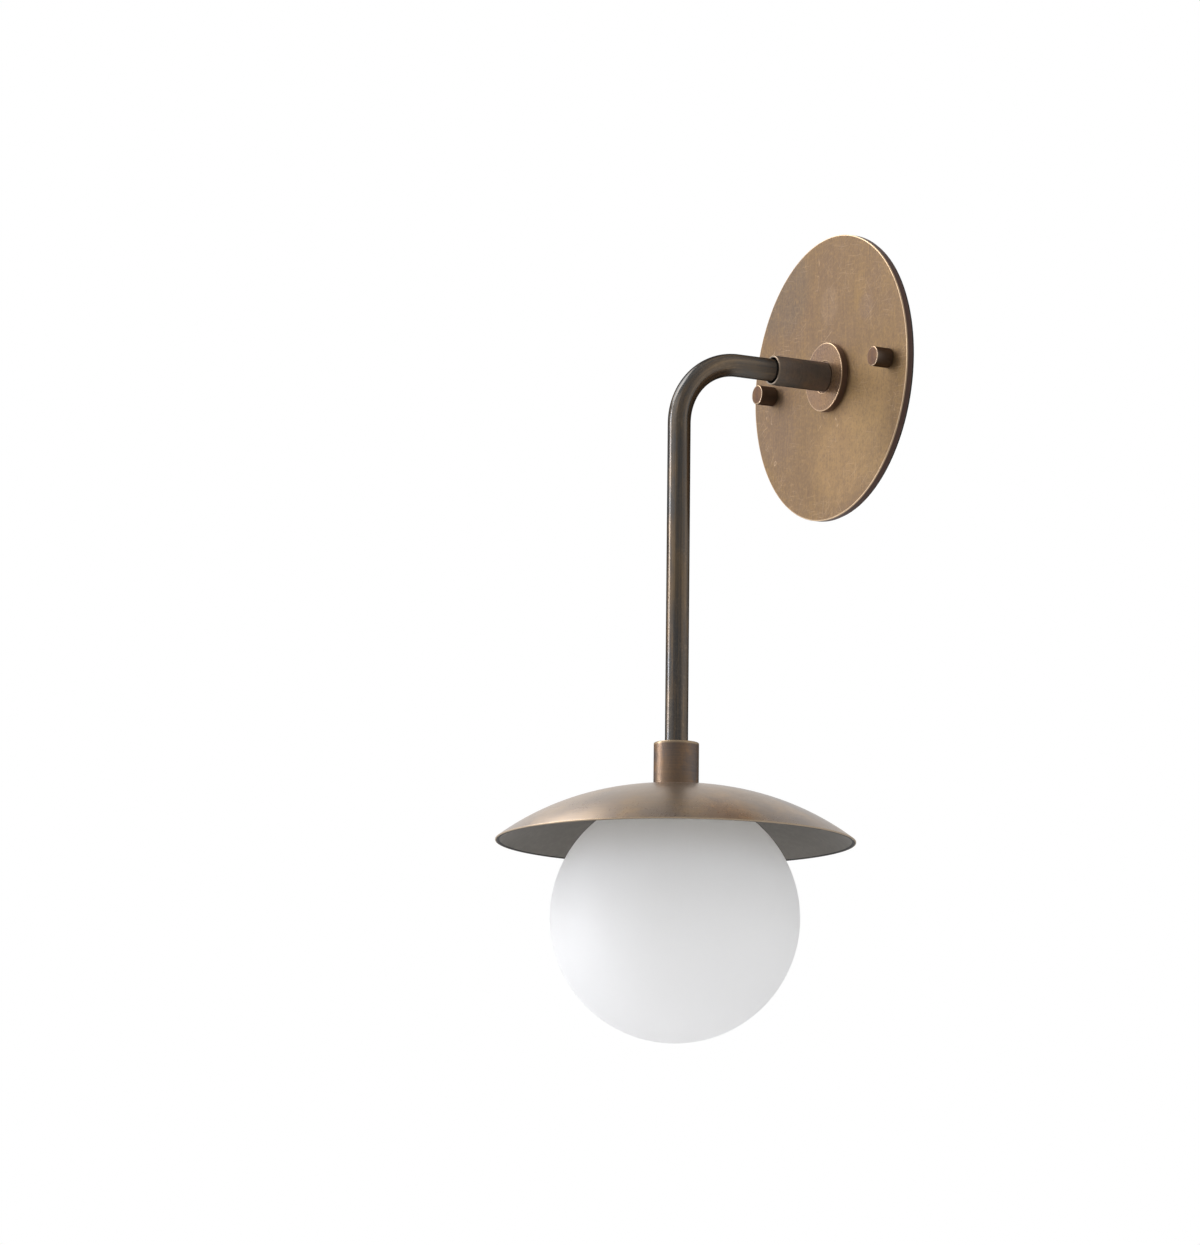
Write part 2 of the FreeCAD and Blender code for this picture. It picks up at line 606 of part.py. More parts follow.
def make_lamp():
    # The plug stays as far below the roof of its slot as the collar stays below the lampholder
    plug = block("lamp_plug", "lamp_slot_width - 2 * lamp_play", "lamp_slot_depth - 2 * lamp_play",
                 "lamp_slot_length + overrun", z="lamp_collar_height - overrun")
    collar = cylinder("lamp_collar", "lamp_collar_radius", "lamp_collar_height")
    place(joined("lamp_base", [collar, plug]), out="arm_reach", drop=LAMP_COLLAR_END)
    loops = []
    for side_name, sign in (("left", -1), ("right", 1)):
        loop = doc.addObject("Part::Feature", f"pin_{side_name}")
        loop.Shape = pin_loop()
        loops.append(shift(loop, x=f"{sign} * contact_offset"))
    pins = group("lamp_pins", loops)
    place(pins, out="arm_reach", drop=f"{LAMP_COLLAR_TOP} - lamp_slot_length")
    straight = "(lamp_cover_length - lamp_cover_radius)"
    cover_parts = []
    for name, radius, top in (("lamp_cover_outside", "lamp_cover_radius", straight),
                              ("lamp_cover_inside", "(lamp_cover_radius - lamp_cover_wall)",
                               f"({straight} + overrun)")):
        tube = cylinder(f"{name}_tube", radius, top, z="lamp_cover_radius")
        dome = doc.addObject("Part::Sphere", f"{name}_dome")
        bind(dome, Radius=radius)
        cover_parts.append(joined(name, [tube, shift(dome, z="lamp_cover_radius")]))
    place(cut("lamp_cover", cover_parts[0], [cover_parts[1]]),
          out="arm_reach", drop=f"{LAMP_COLLAR_END} + lamp_cover_length")
    board = doc.addObject("Part::Box", "lamp_board")
    bind(board, Length="lamp_board_width", Width="lamp_board_thickness", Height="lamp_board_length")
    place(board, right="-lamp_board_width / 2", out="arm_reach + lamp_board_thickness / 2",
          drop=f"{LAMP_COLLAR_TOP} + lamp_collar_height + lamp_board_length")


def pin_loop():
    """A hairpin of round wire that stands on z = 0 with its bend up."""
    bend = size("pin_loop_radius")
    top = size("pin_length - pin_loop_radius")
    path = Part.Wire([
        Part.LineSegment(Vector(-bend, 0, 0), Vector(-bend, 0, top)).toShape(),
        Part.Arc(Vector(-bend, 0, top), Vector(0, 0, top + bend), Vector(bend, 0, top)).toShape(),
        Part.LineSegment(Vector(bend, 0, top), Vector(bend, 0, 0)).toShape()])
    return round_sweep(path, size("pin_radius"))


def round_sweep(path, radius):
    """A round rod or wire along a path of straight runs and tangent arcs."""
    start = path.Edges[0]
    section = Part.Wire(Part.Circle(start.valueAt(start.FirstParameter),
                                    start.tangentAt(start.FirstParameter), radius).toShape())
    solid = path.makePipeShell([section], True, False)
    expected = math.pi * radius ** 2 * path.Length
    if abs(solid.Volume - expected) > expected / 200:
        raise ValueError("a swept wire has the wrong volume")
    return solid


# Strap, studs and barrel nuts

def make_bracket():
    body = new_body("wall_bracket")
    profile = sketch_on(body, "bracket_profile", "XY_Plane")
    foot = "(stud_offset - bracket_tab_inner)"
    toe = "(stud_offset + bracket_tab_outer)"
    outline(profile, [
        ("0", "bracket_recess"), (f"{foot} - bracket_slope", "bracket_recess"), (foot, "bracket_tab_gap"),
        (toe, "bracket_tab_gap"), (toe, TAB_BACK), (foot, TAB_BACK),
        (f"{foot} - bracket_slope", BRACKET_BACK), ("0", BRACKET_BACK)])
    pad = body.newObject("PartDesign::Pad", "bracket_half")
    pad.Profile = profile
    pad.Midplane = True
    bind(pad, Length="bracket_width")
    drilled = []
    right = sketch_on(body, "bracket_stud_sketch", "XZ_Plane")
    circle(right, STUD_BORE, "stud_offset")
    slot(right, "box_screw_offset", "box_slot_straight", "box_slot_radius")
    drilled.append(through(body, right))
    mirror_feature(body, [pad] + drilled, "YZ_Plane")
    middle = sketch_on(body, "bracket_middle_sketch", "XZ_Plane")
    circle(middle, "tube_radius + bracket_hole_margin")
    circle(middle, STUD_BORE, "earth_offset")
    for sign in ("", "-"):
        circle(middle, "block_screw_radius + thread_clearance", "-block_offset - block_depth / 2",
               f"{sign}pole_pitch / 2")
    body.Tip = through(body, middle)
    studs = []
    nuts = []
    for side_name, sign in (("left", "-"), ("right", "")):
        x = f"{sign}stud_offset"
        studs.append(cylinder(f"stud_{side_name}", "stud_radius",
                              f"{STUD_FRONT} + {TAB_BACK} + stud_nut_thickness + stud_tail", x))
        blank = hexagon(f"stud_nut_{side_name}_blank", "stud_nut_flats", "stud_nut_thickness")
        nuts.append(shift(cut(f"stud_nut_{side_name}", blank,
                              [cylinder(f"stud_nut_{side_name}_bore", STUD_BORE,
                                        "stud_nut_thickness + 2 * overrun", z="-overrun")]), x))
        depth = "(barrel_length - barrel_roof)"
        place(turned(f"barrel_nut_{side_name}", [
            (STUD_BORE, "0"), ("barrel_radius", "0"), ("barrel_radius", "barrel_length - worn_edge"),
            ("barrel_radius - worn_edge", "barrel_length"), ("0", "barrel_length"), ("0", depth),
            (STUD_BORE, depth)]),
            OUTWARD, right=x, out=f"{PLATE_FACE} + seat_gap")
    place(group("bracket_studs", studs), OUTWARD, out=f"-({TAB_BACK} + stud_nut_thickness + stud_tail)")
    place(group("stud_lock_nuts", nuts), OUTWARD, out=f"-({TAB_BACK} + stud_nut_thickness)")


def slot(sketch, centre, straight, radius):
    """A slot along the sketch's horizontal axis, with round ends."""
    start = size(f"{centre} - {straight} / 2")
    end = size(f"{centre} + {straight} / 2")
    half = size(radius)
    axis = Vector(0, 0, 1)
    first = sketch.addGeometry(Part.ArcOfCircle(
        Part.Circle(Vector(start, 0, 0), axis, half), math.pi / 2, 3 * math.pi / 2))
    second = sketch.addGeometry(Part.ArcOfCircle(
        Part.Circle(Vector(end, 0, 0), axis, half), -math.pi / 2, math.pi / 2))
    upper = sketch.addGeometry(Part.LineSegment(Vector(end, half, 0), Vector(start, half, 0)))
    lower = sketch.addGeometry(Part.LineSegment(Vector(start, -half, 0), Vector(end, -half, 0)))
    for edge, place_a, other, place_b in ((second, 2, upper, 1), (upper, 2, first, 1),
                                          (first, 2, lower, 1), (lower, 2, second, 1)):
        sketch.addConstraint(Sketcher.Constraint("Tangent", edge, place_a, other, place_b))
    pin_point(sketch, first, 3, f"{centre} - {straight} / 2", "0")
    pin_point(sketch, second, 3, f"{centre} + {straight} / 2", "0")
    measure(sketch, "Radius", radius, first)


def through(body, sketch):
    """Cut the sketch's shapes through the whole body, both ways."""
    pocket = body.newObject("PartDesign::Pocket", sketch.Name.replace("sketch", "pocket"))
    pocket.Profile = sketch
    pocket.Midplane = True
    pocket.Type = "ThroughAll"
    return pocket


# Terminal block: modelled with x across, y along its row of poles and z away from the strap

def make_terminal_block():
    length = "(2 * pole_pitch + 2 * block_end)"
    poles = ["-pole_pitch", "0", "pole_pitch"]
    body = block("terminal_block_blank", "block_depth", length, "block_height")
    tools = []
    inserts = []
    clamps = []
    insert_length = "(block_depth - 2 * insert_inset)"
    for number, y in enumerate(poles, 1):
        passage = cylinder(f"pole_{number}_passage", "insert_radius + thread_clearance",
                           "block_depth + 2 * overrun")
        passage.Placement = Placement(Vector(), TOWARDS_RIGHT)
        tools.append(shift(passage, "-block_depth / 2 - overrun", y, "pole_height"))
        tube = cylinder(f"pole_{number}_tube", "insert_radius", insert_length)
        bore = cylinder(f"pole_{number}_bore", "insert_bore_radius", f"{insert_length} + 2 * overrun",
                        z="-overrun")
        metal = cut(f"pole_{number}_insert", tube, [bore])
        metal.Placement = Placement(Vector(), TOWARDS_RIGHT)
        shift(metal, "-block_depth / 2 + insert_inset", y, "pole_height")
        taps = []
        for mark, sign in (("a", "-"), ("b", "")):
            x = f"{sign}clamp_screw_offset"
            tools.append(cylinder(f"pole_{number}{mark}_well", "clamp_screw_radius + clamp_well_play",
                                  "block_height", x, y, "pole_height"))
            taps.append(cylinder(f"pole_{number}{mark}_tap", "clamp_screw_radius + thread_clearance",
                                 "block_height", x, y, "pole_height"))
            foot = "(pole_height + lead_radius + thread_clearance)"
            clamps.append(grub_screw(f"pole_{number}{mark}_screw", "clamp_screw_radius",
                                     f"(block_height - clamp_screw_inset - {foot})", x, y, foot))
        inserts.append(cut(f"pole_{number}_tapped", metal, taps))
    for number, y in enumerate(("-pole_pitch / 2", "pole_pitch / 2"), 1):
        tools.append(cylinder(f"block_{number}_hole", "block_screw_radius + thread_clearance",
                              "block_height + 2 * overrun", "0", y, "-overrun"))
        tools.append(block(f"block_{number}_notch", "block_depth + overrun", "block_notch_width",
                           "block_notch_depth + overrun", "0", y, "block_height - block_notch_depth"))
        tools.append(cylinder(f"block_{number}_head_room", "block_head_radius + thread_clearance",
                              "block_height", "0", y, BLOCK_SCREW_SEAT))
    seat = dict(right="-block_offset - block_depth / 2", out=f"-{BRACKET_BACK}")
    place(cut("terminal_block", body, tools), BEHIND, **seat)
    place(group("terminal_inserts", inserts), BEHIND, **seat)
    place(group("terminal_clamp_screws", clamps), BEHIND, **seat)
    screws = []
    for mark, sign in (("upper", ""), ("lower", "-")):
        screws.append(shift(slotted_screw(f"block_screw_{mark}", "block_screw_radius",
                                          f"({BLOCK_SCREW_SEAT} + bracket_thickness)",
                                          "block_head_radius", "block_head_height"),
                            y=f"{sign}pole_pitch / 2"))
    place(group("terminal_block_screws", screws), OUTWARD, right="-block_offset - block_depth / 2",
          out=f"-({BRACKET_BACK} + {BLOCK_SCREW_SEAT})")


def grub_screw(name, radius, length, x, y, z):
    """A headless screw with a slot in its upper end."""
    shank = cylinder(f"{name}_shank", radius, length)
    notch = block(f"{name}_notch", f"2 * {radius} + overrun", "screw_slot_width",
                  "screw_slot_width + overrun", z=f"{length} - screw_slot_width")
    return shift(cut(name, shank, [notch]), x, y, z)


# Earth screw and tag: an eye under the screw's head, a tongue, and a barrel crimped on the lead

def make_earth():
    place(slotted_screw("earth_screw", "stud_radius", "earth_screw_length", "earth_head_radius",
                        "earth_head_height"),
          OUTWARD, right="earth_offset", out=f"-({BRACKET_BACK} + tag_thickness)")
    sleeve = cylinder("tag_barrel", TAG_BARREL_RADIUS, "tag_barrel_length")
    sleeve.Placement = Placement(Vector(), TOWARDS_RIGHT)
    shift(sleeve, f"-({TAG_MOUTH})", "0", TAG_BARREL_AXIS)
    bore = cylinder("tag_bore", "lead_radius + thread_clearance", "tag_barrel_length + 2 * overrun")
    bore.Placement = Placement(Vector(), TOWARDS_RIGHT)
    shift(bore, f"-({TAG_MOUTH}) - overrun", "0", TAG_BARREL_AXIS)
    tongue_length = "(tag_radius + tag_tongue + tag_overlap)"
    tongue = block("tag_tongue", tongue_length, f"2 * {TAG_BARREL_RADIUS}", "tag_thickness",
                   f"-{tongue_length} / 2")
    eye = cylinder("tag_eye", "tag_radius", "tag_thickness")
    hole = cylinder("tag_hole", STUD_BORE, "tag_thickness + 2 * overrun", z="-overrun")
    tag = cut("earth_tag", joined("tag_blank", [eye, tongue, sleeve]), [bore, hole])
    place(tag, BEHIND, right="earth_offset", out=f"-{BRACKET_BACK}")


# Leads, along routes of straight runs and tangent arcs

def lead_along(name, corners, radii):
    points = [Vector(*corner) for corner in corners]
    edges = []
    start = points[0]
    for index, radius in enumerate(radii, 1):
        before = (points[index] - points[index - 1]).normalize()
        after = (points[index + 1] - points[index]).normalize()
        turn = before.getAngle(after)
        reach = radius * math.tan(turn / 2)
        begin = points[index] - before * reach
        finish = points[index] + after * reach
        inward = (after - before).normalize()
        middle = points[index] + inward * (radius / math.cos(turn / 2) - radius)
        edges.append(Part.LineSegment(start, begin).toShape())
        edges.append(Part.Arc(begin, middle, finish).toShape())
        start = finish
    edges.append(Part.LineSegment(start, points[-1]).toShape())
    path = Part.Wire(edges)
    lead = doc.addObject("Part::Feature", name)
    lead.Shape = round_sweep(path, size("lead_radius"))
    lead.Placement = Placement()
    print(name, "is", round(path.Length, 1), "mm long, with bends of", [round(r, 1) for r in radii], "mm")


def make_leads():
    axis = -size("arm_reach")
    pole_depth = size(POLE_DEPTH)
    turn_depth = size("lead_turn_depth")
    contact_top = size(CONTACT_TOP)
    spread = size("contact_offset")
    offset = size("lead_offset")
    stub_top = contact_top - size("lead_stub")
    gather = stub_top - size("lead_gather")
    fan = -size("lead_fan")
    bend = size("lead_bend_radius")
    grip = -size("block_offset + lead_grip")
    for name, sign in (("live_lead", -1), ("neutral_lead", 1)):
        pole = -sign * size("pole_pitch")
        lead_along(name, [
            (sign * spread, axis, -contact_top), (sign * spread, axis, -stub_top),
            (sign * offset, axis, -gather), (sign * offset, axis, 0), (sign * offset, turn_depth, 0),
            (fan, pole_depth, pole), (grip, pole_depth, pole)],
            [bend, bend, size("bend_radius"), bend, bend])
    tag_depth = size(f"{BRACKET_BACK} + {TAG_BARREL_AXIS}")
    tag_mouth = size(f"earth_offset - {TAG_MOUTH}")
    level = tag_mouth - bend
    lead_along("earth_lead", [
        (grip, pole_depth, 0), (level - 2 * bend, pole_depth, 0), (level, tag_depth, 0),
        (tag_mouth + size("tag_barrel_length"), tag_depth, 0)], [bend, bend])


NODES = [
    "wall_gasket", "backplate", "rosette_disc", "arm_sleeve", "arm_nipple", "arm_washer", "arm_lock_nut",
    "nipple_bushing", "arm_tube", "shade_collar", "shade_nipple", "dome_shade", "globe_holder",
    "globe_washer", "opal_globe", "lampholder_body", "lampholder_screws", "lamp_contacts", "lamp_base",
    "lamp_pins", "lamp_cover", "lamp_board", "wall_bracket", "bracket_studs", "stud_lock_nuts",
    "barrel_nut_left", "barrel_nut_right", "terminal_block", "terminal_inserts", "terminal_clamp_screws",
    "terminal_block_screws", "earth_screw", "earth_tag", "live_lead", "neutral_lead", "earth_lead",
]

make_backplate()
make_arm_foot()
make_arm_tube()
make_shade()
make_globe()
make_lampholder()
make_lamp()
make_bracket()
make_terminal_block()
make_earth()
make_leads()
doc.recompute()

# Every feature has to be sound, and every pocket has to cut something
for feature in doc.Objects:
    if "Invalid" in feature.State or "Error" in feature.State:
        raise RuntimeError(f"{feature.Name} failed: {feature.State}")
    if feature.TypeId == "PartDesign::Pocket" and feature.Shape.Volume >= feature.BaseFeature.Shape.Volume:
        raise RuntimeError(f"{feature.Name} cuts nothing")
os.makedirs("parts", exist_ok=True)
for node in NODES:
    shape = doc.getObject(node).Shape
    if shape.isNull() or not shape.isValid() or not shape.Solids:
        raise RuntimeError(f"{node} is not a sound solid")
for node in NODES:
    shape = doc.getObject(node).Shape
    shape.exportStep(f"parts/{node}.step")
    print(node, len(shape.Solids), round(shape.Volume, 1))
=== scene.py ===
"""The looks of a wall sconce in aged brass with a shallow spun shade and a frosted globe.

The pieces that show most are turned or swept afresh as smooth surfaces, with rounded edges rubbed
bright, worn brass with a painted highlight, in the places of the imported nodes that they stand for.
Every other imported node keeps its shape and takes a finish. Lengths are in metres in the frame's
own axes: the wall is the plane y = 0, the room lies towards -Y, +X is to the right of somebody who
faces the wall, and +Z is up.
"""

import json
import logging
import math
from dataclasses import dataclass
from enum import Enum
from typing import Any, Callable, Optional, Sequence, Union

import bpy
import numpy as np
from mathutils import Matrix, Vector

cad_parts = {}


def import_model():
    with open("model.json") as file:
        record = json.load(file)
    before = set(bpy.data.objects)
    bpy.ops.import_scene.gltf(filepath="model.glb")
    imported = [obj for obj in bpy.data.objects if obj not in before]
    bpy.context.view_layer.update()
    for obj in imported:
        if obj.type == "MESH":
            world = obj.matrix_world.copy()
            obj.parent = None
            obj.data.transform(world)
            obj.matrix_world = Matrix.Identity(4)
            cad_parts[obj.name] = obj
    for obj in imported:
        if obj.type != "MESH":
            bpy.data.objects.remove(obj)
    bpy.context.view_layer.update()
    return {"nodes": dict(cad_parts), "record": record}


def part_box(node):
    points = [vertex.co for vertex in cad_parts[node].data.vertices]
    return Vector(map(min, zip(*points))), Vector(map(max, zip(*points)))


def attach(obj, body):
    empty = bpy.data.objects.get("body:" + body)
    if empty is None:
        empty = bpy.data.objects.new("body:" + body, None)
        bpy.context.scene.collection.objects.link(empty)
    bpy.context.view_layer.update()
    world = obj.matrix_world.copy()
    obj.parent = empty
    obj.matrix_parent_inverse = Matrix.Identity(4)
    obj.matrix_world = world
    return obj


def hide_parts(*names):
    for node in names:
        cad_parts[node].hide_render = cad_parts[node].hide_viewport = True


MM = 0.001
LOG = logging.getLogger("sconce")

Colour = tuple[float, float, float]
Way = tuple[float, float, float]
Step = tuple[float, float]
Number = Union[float, "Signal"]
Tone = Union[Colour, "Signal"]
Relief = Callable[[np.ndarray, np.ndarray], np.ndarray]

WHITE: Colour = (1.0, 1.0, 1.0)


# Shader maths


class Signal:
    """A shader socket that takes part in Python sums."""

    def __init__(self, sheet: "ShaderSheet", socket: bpy.types.NodeSocket) -> None:
        """Wrap one output socket.

        Args:
            sheet: The node tree that the socket belongs to.
            socket: The output socket.
        """
        self.sheet = sheet
        self.socket = socket

    def __add__(self, other: Number) -> "Signal":
        """This plus other."""
        return self.sheet.maths("ADD", self, other)

    def __radd__(self, other: Number) -> "Signal":
        """Other plus this."""
        return self.sheet.maths("ADD", other, self)

    def __sub__(self, other: Number) -> "Signal":
        """This minus other."""
        return self.sheet.maths("SUBTRACT", self, other)

    def __rsub__(self, other: Number) -> "Signal":
        """Other minus this."""
        return self.sheet.maths("SUBTRACT", other, self)

    def __mul__(self, other: Number) -> "Signal":
        """This times other."""
        return self.sheet.maths("MULTIPLY", self, other)

    def __rmul__(self, other: Number) -> "Signal":
        """Other times this."""
        return self.sheet.maths("MULTIPLY", other, self)

    def __abs__(self) -> "Signal":
        """The size of this, without its sign."""
        return self.sheet.maths("ABSOLUTE", self)

    def above(self, low: float, high: float) -> "Signal":
        """A smooth step from 0 at low to 1 at high.

        Args:
            low: Value at which the step starts.
            high: Value at which it is complete. It may lie below low, for a falling step.

        Returns:
            The step, from 0 to 1.
        """
        settings = {"interpolation_type": "SMOOTHSTEP"}
        if high > low:
            return self.sheet.node("ShaderNodeMapRange", settings,
                                   {"Value": self, "From Min": low, "From Max": high})
        return 1.0 - self.above(high, low)


class ShaderSheet:
    """One material's node tree, filled in by expressions."""

    def __init__(self, tree: bpy.types.NodeTree) -> None:
        """Start from an empty tree.

        Args:
            tree: The node tree of a material or a world.
        """
        self.tree = tree
        self.tree.nodes.clear()

    def node(self, kind: str, settings: Optional[dict[str, Any]] = None,
             inputs: Optional[dict[Union[str, int], Any]] = None, output: Union[str, int] = 0) -> Signal:
        """Add any node.

        Args:
            kind: The node's type name.
            settings: Properties of the node, which are set before its sockets.
            inputs: Values or signals for the sockets, by name or by place.
            output: The output that is wanted, by name or by place.

        Returns:
            That output as a signal.
        """
        made = self.tree.nodes.new(kind)
        for field, value in (settings or {}).items():
            setattr(made, field, value)
        for key, value in (inputs or {}).items():
            if isinstance(value, Signal):
                self.tree.links.new(value.socket, made.inputs[key])
            else:
                made.inputs[key].default_value = value
        return Signal(self, made.outputs[output]) if made.outputs else Signal(self, None)

    def maths(self, operation: str, first: Number, second: Number = 0.0) -> Signal:
        """Two values through a Math node.

        Args:
            operation: The node's operation.
            first: The first value.
            second: The second value.

        Returns:
            The result.
        """
        return self.node("ShaderNodeMath", {"operation": operation}, {0: first, 1: second})

    def stretched(self, vector: Signal, by: Sequence[float]) -> Signal:
        """The vector times three factors, one for each axis."""
        return self.node("ShaderNodeVectorMath", {"operation": "MULTIPLY"}, {0: vector, 1: tuple(by)})

    def moved(self, vector: Signal, by: Sequence[float]) -> Signal:
        """The vector plus a fixed offset, so that two noises read from it don't follow each other."""
        return self.node("ShaderNodeVectorMath", {"operation": "ADD"}, {0: vector, 1: tuple(by)})

    def place(self) -> Signal:
        """The point's place in the frame."""
        return self.node("ShaderNodeTexCoord", output="Object")

    def along(self, vector: Signal, way: Sequence[float]) -> Signal:
        """How far the vector reaches along a unit vector."""
        inputs = {0: vector, 1: tuple(way)}
        return self.node("ShaderNodeVectorMath", {"operation": "DOT_PRODUCT"}, inputs, "Value")

    def parts(self, vector: Signal) -> tuple[Signal, Signal, Signal]:
        """The vector's three numbers."""
        made = self.node("ShaderNodeSeparateXYZ", inputs={0: vector}).socket.node
        return tuple(Signal(self, made.outputs[axis]) for axis in "XYZ")

    def off_axis(self, across: Signal, along: Signal) -> Signal:
        """Distance from an axis: the root of the squares of the two numbers across it."""
        return self.maths("SQRT", across * across + along * along)

    def stored(self, name: str, output: str = "Fac") -> Signal:
        """A number that the mesh stores at its vertices, or a vector with the output Vector."""
        return self.node("ShaderNodeAttribute", {"attribute_name": name}, output=output)

    def noise(self, vector: Signal, scale: float, detail: float = 2.0, roughness: float = 0.5,
              warp: float = 0.0) -> Signal:
        """Cloudy noise.

        Args:
            vector: Where to read the noise.
            scale: Clouds per metre.
            detail: Octaves.
            roughness: Strength of the finer octaves.
            warp: How much the noise is bent by itself.

        Returns:
            A value from 0 to 1, about 0.5 on average.
        """
        inputs = {"Vector": vector, "Scale": scale, "Detail": detail, "Roughness": roughness,
                  "Distortion": warp}
        return self.node("ShaderNodeTexNoise", None, inputs)

    def mixed(self, share: Number, first: Tone, second: Tone) -> Signal:
        """Two colours blended.

        Args:
            share: How much of the second colour, from 0 to 1.
            first: The first colour.
            second: The second colour.

        Returns:
            The blend.
        """
        inputs = {0: share, 6: paint(first), 7: paint(second)}
        return self.node("ShaderNodeMix", {"data_type": "RGBA", "clamp_factor": True}, inputs, output=2)

    def relief(self, height: Signal, depth: float, under: Optional[Signal] = None) -> Signal:
        """A bumped normal.

        Args:
            height: Height as a value from 0 to 1.
            depth: What 1 stands for, in metres.
            under: A normal that is already bumped.

        Returns:
            The normal.
        """
        inputs = {"Height": height, "Distance": depth}
        if under is not None:
            inputs["Normal"] = under
        return self.node("ShaderNodeBump", None, inputs)

    def looked_at(self) -> tuple[Signal, Signal]:
        """Where the light is on its way to the camera, in gloss or through glass.

        Returns:
            1 where the camera, gloss or glass sees the surface, and 1 where gloss alone does.
        """
        path = self.node("ShaderNodeLightPath").socket.node
        camera, glossy, through = (Signal(self, path.outputs[name]) for name in
                                   ("Is Camera Ray", "Is Glossy Ray", "Is Transmission Ray"))
        return self.maths("MAXIMUM", self.maths("MAXIMUM", camera, glossy), through), glossy

    def principled(self, colour: Signal, rough: Signal, normal: Signal,
                   others: Optional[dict[str, Any]] = None) -> Signal:
        """A Principled shader.

        Args:
            colour: Its base colour.
            rough: Its roughness.
            normal: Its normal.
            others: Values or signals for its other sockets, by name.

        Returns:
            The shader.
        """
        inputs = {"Base Color": colour, "Roughness": rough, "Normal": normal, **(others or {})}
        return self.node("ShaderNodeBsdfPrincipled", None, inputs)

    def blended(self, share: Signal, first: Signal, second: Signal) -> Signal:
        """Two shaders mixed, by the share of the second."""
        return self.node("ShaderNodeMixShader", None, {0: share, 1: first, 2: second})

    def finish(self, shader: Signal, output: str = "Material") -> None:
        """Send the shader to the output of the material, or of the world with the output World."""
        self.node(f"ShaderNodeOutput{output}", None, {"Surface": shader})


def paint(colour: Tone) -> Union[tuple[float, ...], Signal]:
    """A colour with its fourth number, or the signal as it is."""
    return colour if isinstance(colour, Signal) else (*colour, 1.0)


def toned(colour: Colour, by: float) -> Colour:
    """The colour with each of its parts times a factor."""
    return tuple(part * by for part in colour)


def swayed(value: Number, *swings: tuple[Signal, float]) -> Number:
    """A value moved up and down by noises: each less its mean of 0.5, times its own reach."""
    for noise, reach in swings:
        value = value + (noise - 0.5) * reach
    return value


# Finishes

# Marks of each kind in a metre, all ways or across, along and beside their own line
MOTTLES = 290.0
SPECKS = 850.0
# How often in a metre the rubbed edges, worn brass with a painted highlight, vary
WEAR_AND_HIGHLIGHT_PATCHES = 70.0
RINGS = 2600.0
RING_BREAKS = 25.0
CURLS = 110.0
CURL_BREAKS = 190.0
CURL_GROUPS = 30.0
HAIRLINES: Way = (2400.0, 60.0, 500.0)
HAIRLINE_GROUPS = 40.0
BRUSH_STROKES: Way = (1500.0, 1500.0, 70.0)
DRAW_STREAKS: Way = (1300.0, 1300.0, 16.0)
PLATING_LINES: Way = (300.0, 2400.0, 2400.0)

# Sets of straight hairlines, the turn from one set to the next in radians, and how far apart
# their noises are read
HAIRLINE_SETS = 6
HAIRLINE_START = 0.5
HAIRLINE_TURN = 2.4
HAIRLINE_SHIFT = 9.0

# Strength of a mark where it shows fully
GOLD_SHARE = 0.75
SIDE_MOTTLE_SHARE = 0.35
# The dark line inside the dome's cut edge is painted shadow
PAINTED_SHADOW_SHARE = 0.95
FLECK_SHARE = 0.6

# Tones of the marks, as a factor on the gold, the dusk, the side's and the glass's own colour
BRIGHT_MARK = 1.30
DARK_MARK = 0.68
PALE_SIDE = 1.35
# Tone of the painted shadow line inside the dome's cut edge
PAINTED_SHADOW_TONE = 0.08
DENSE_GLASS = 0.965

# Values of each noise at which a mark starts to show, and at which it shows fully
DUSK_TO_BODY: Step = (0.34, 0.62)
BODY_TO_GOLD: Step = (0.46, 0.72)
MOTTLED: Step = (0.40, 0.72)
MOTTLED_SIDE: Step = (0.40, 0.70)
LIGHT_STREAK: Step = (0.50, 0.72)
DARK_STREAK: Step = (0.50, 0.28)
LIGHT_SPECK: Step = (0.50, 0.66)
DARK_SPECK: Step = (0.50, 0.34)
HAIRLINE: Step = (0.66, 0.76)
HAIRLINE_GROUP: Step = (0.36, 0.62)
CURL_GROUP: Step = (0.52, 0.62)
# Rubbed edges: worn brass with a painted highlight
RUBBED_AND_HIGHLIT: Step = (0.20, 0.80)
DULLED: Step = (0.42, 0.68)
FLECKED: Step = (0.45, 0.72)
FLOWING: Step = (0.35, 0.72)

# Distance from a curled hairline's level, and values of the "skin" attribute on the line painted as
# shadow inside the dome's cut edge
CURL: Step = (0.010, 0.003)
PAINTED_SHADOW_SKIN: Step = (1.1, 1.9)


class Grain(Enum):
    """How a metal surface was worked."""

    BRUSHED = "brushed up and down in the frame"
    TURNED = "turned or spun, with rings round the piece's own axis"
    DRAWN = "drawn, with streaks along the piece's own axis"

    def flow(self) -> Way:
        """Factors that draw the clouds out along the piece."""
        return (1.0, 1.0, 0.3 if self is Grain.DRAWN else 0.7)


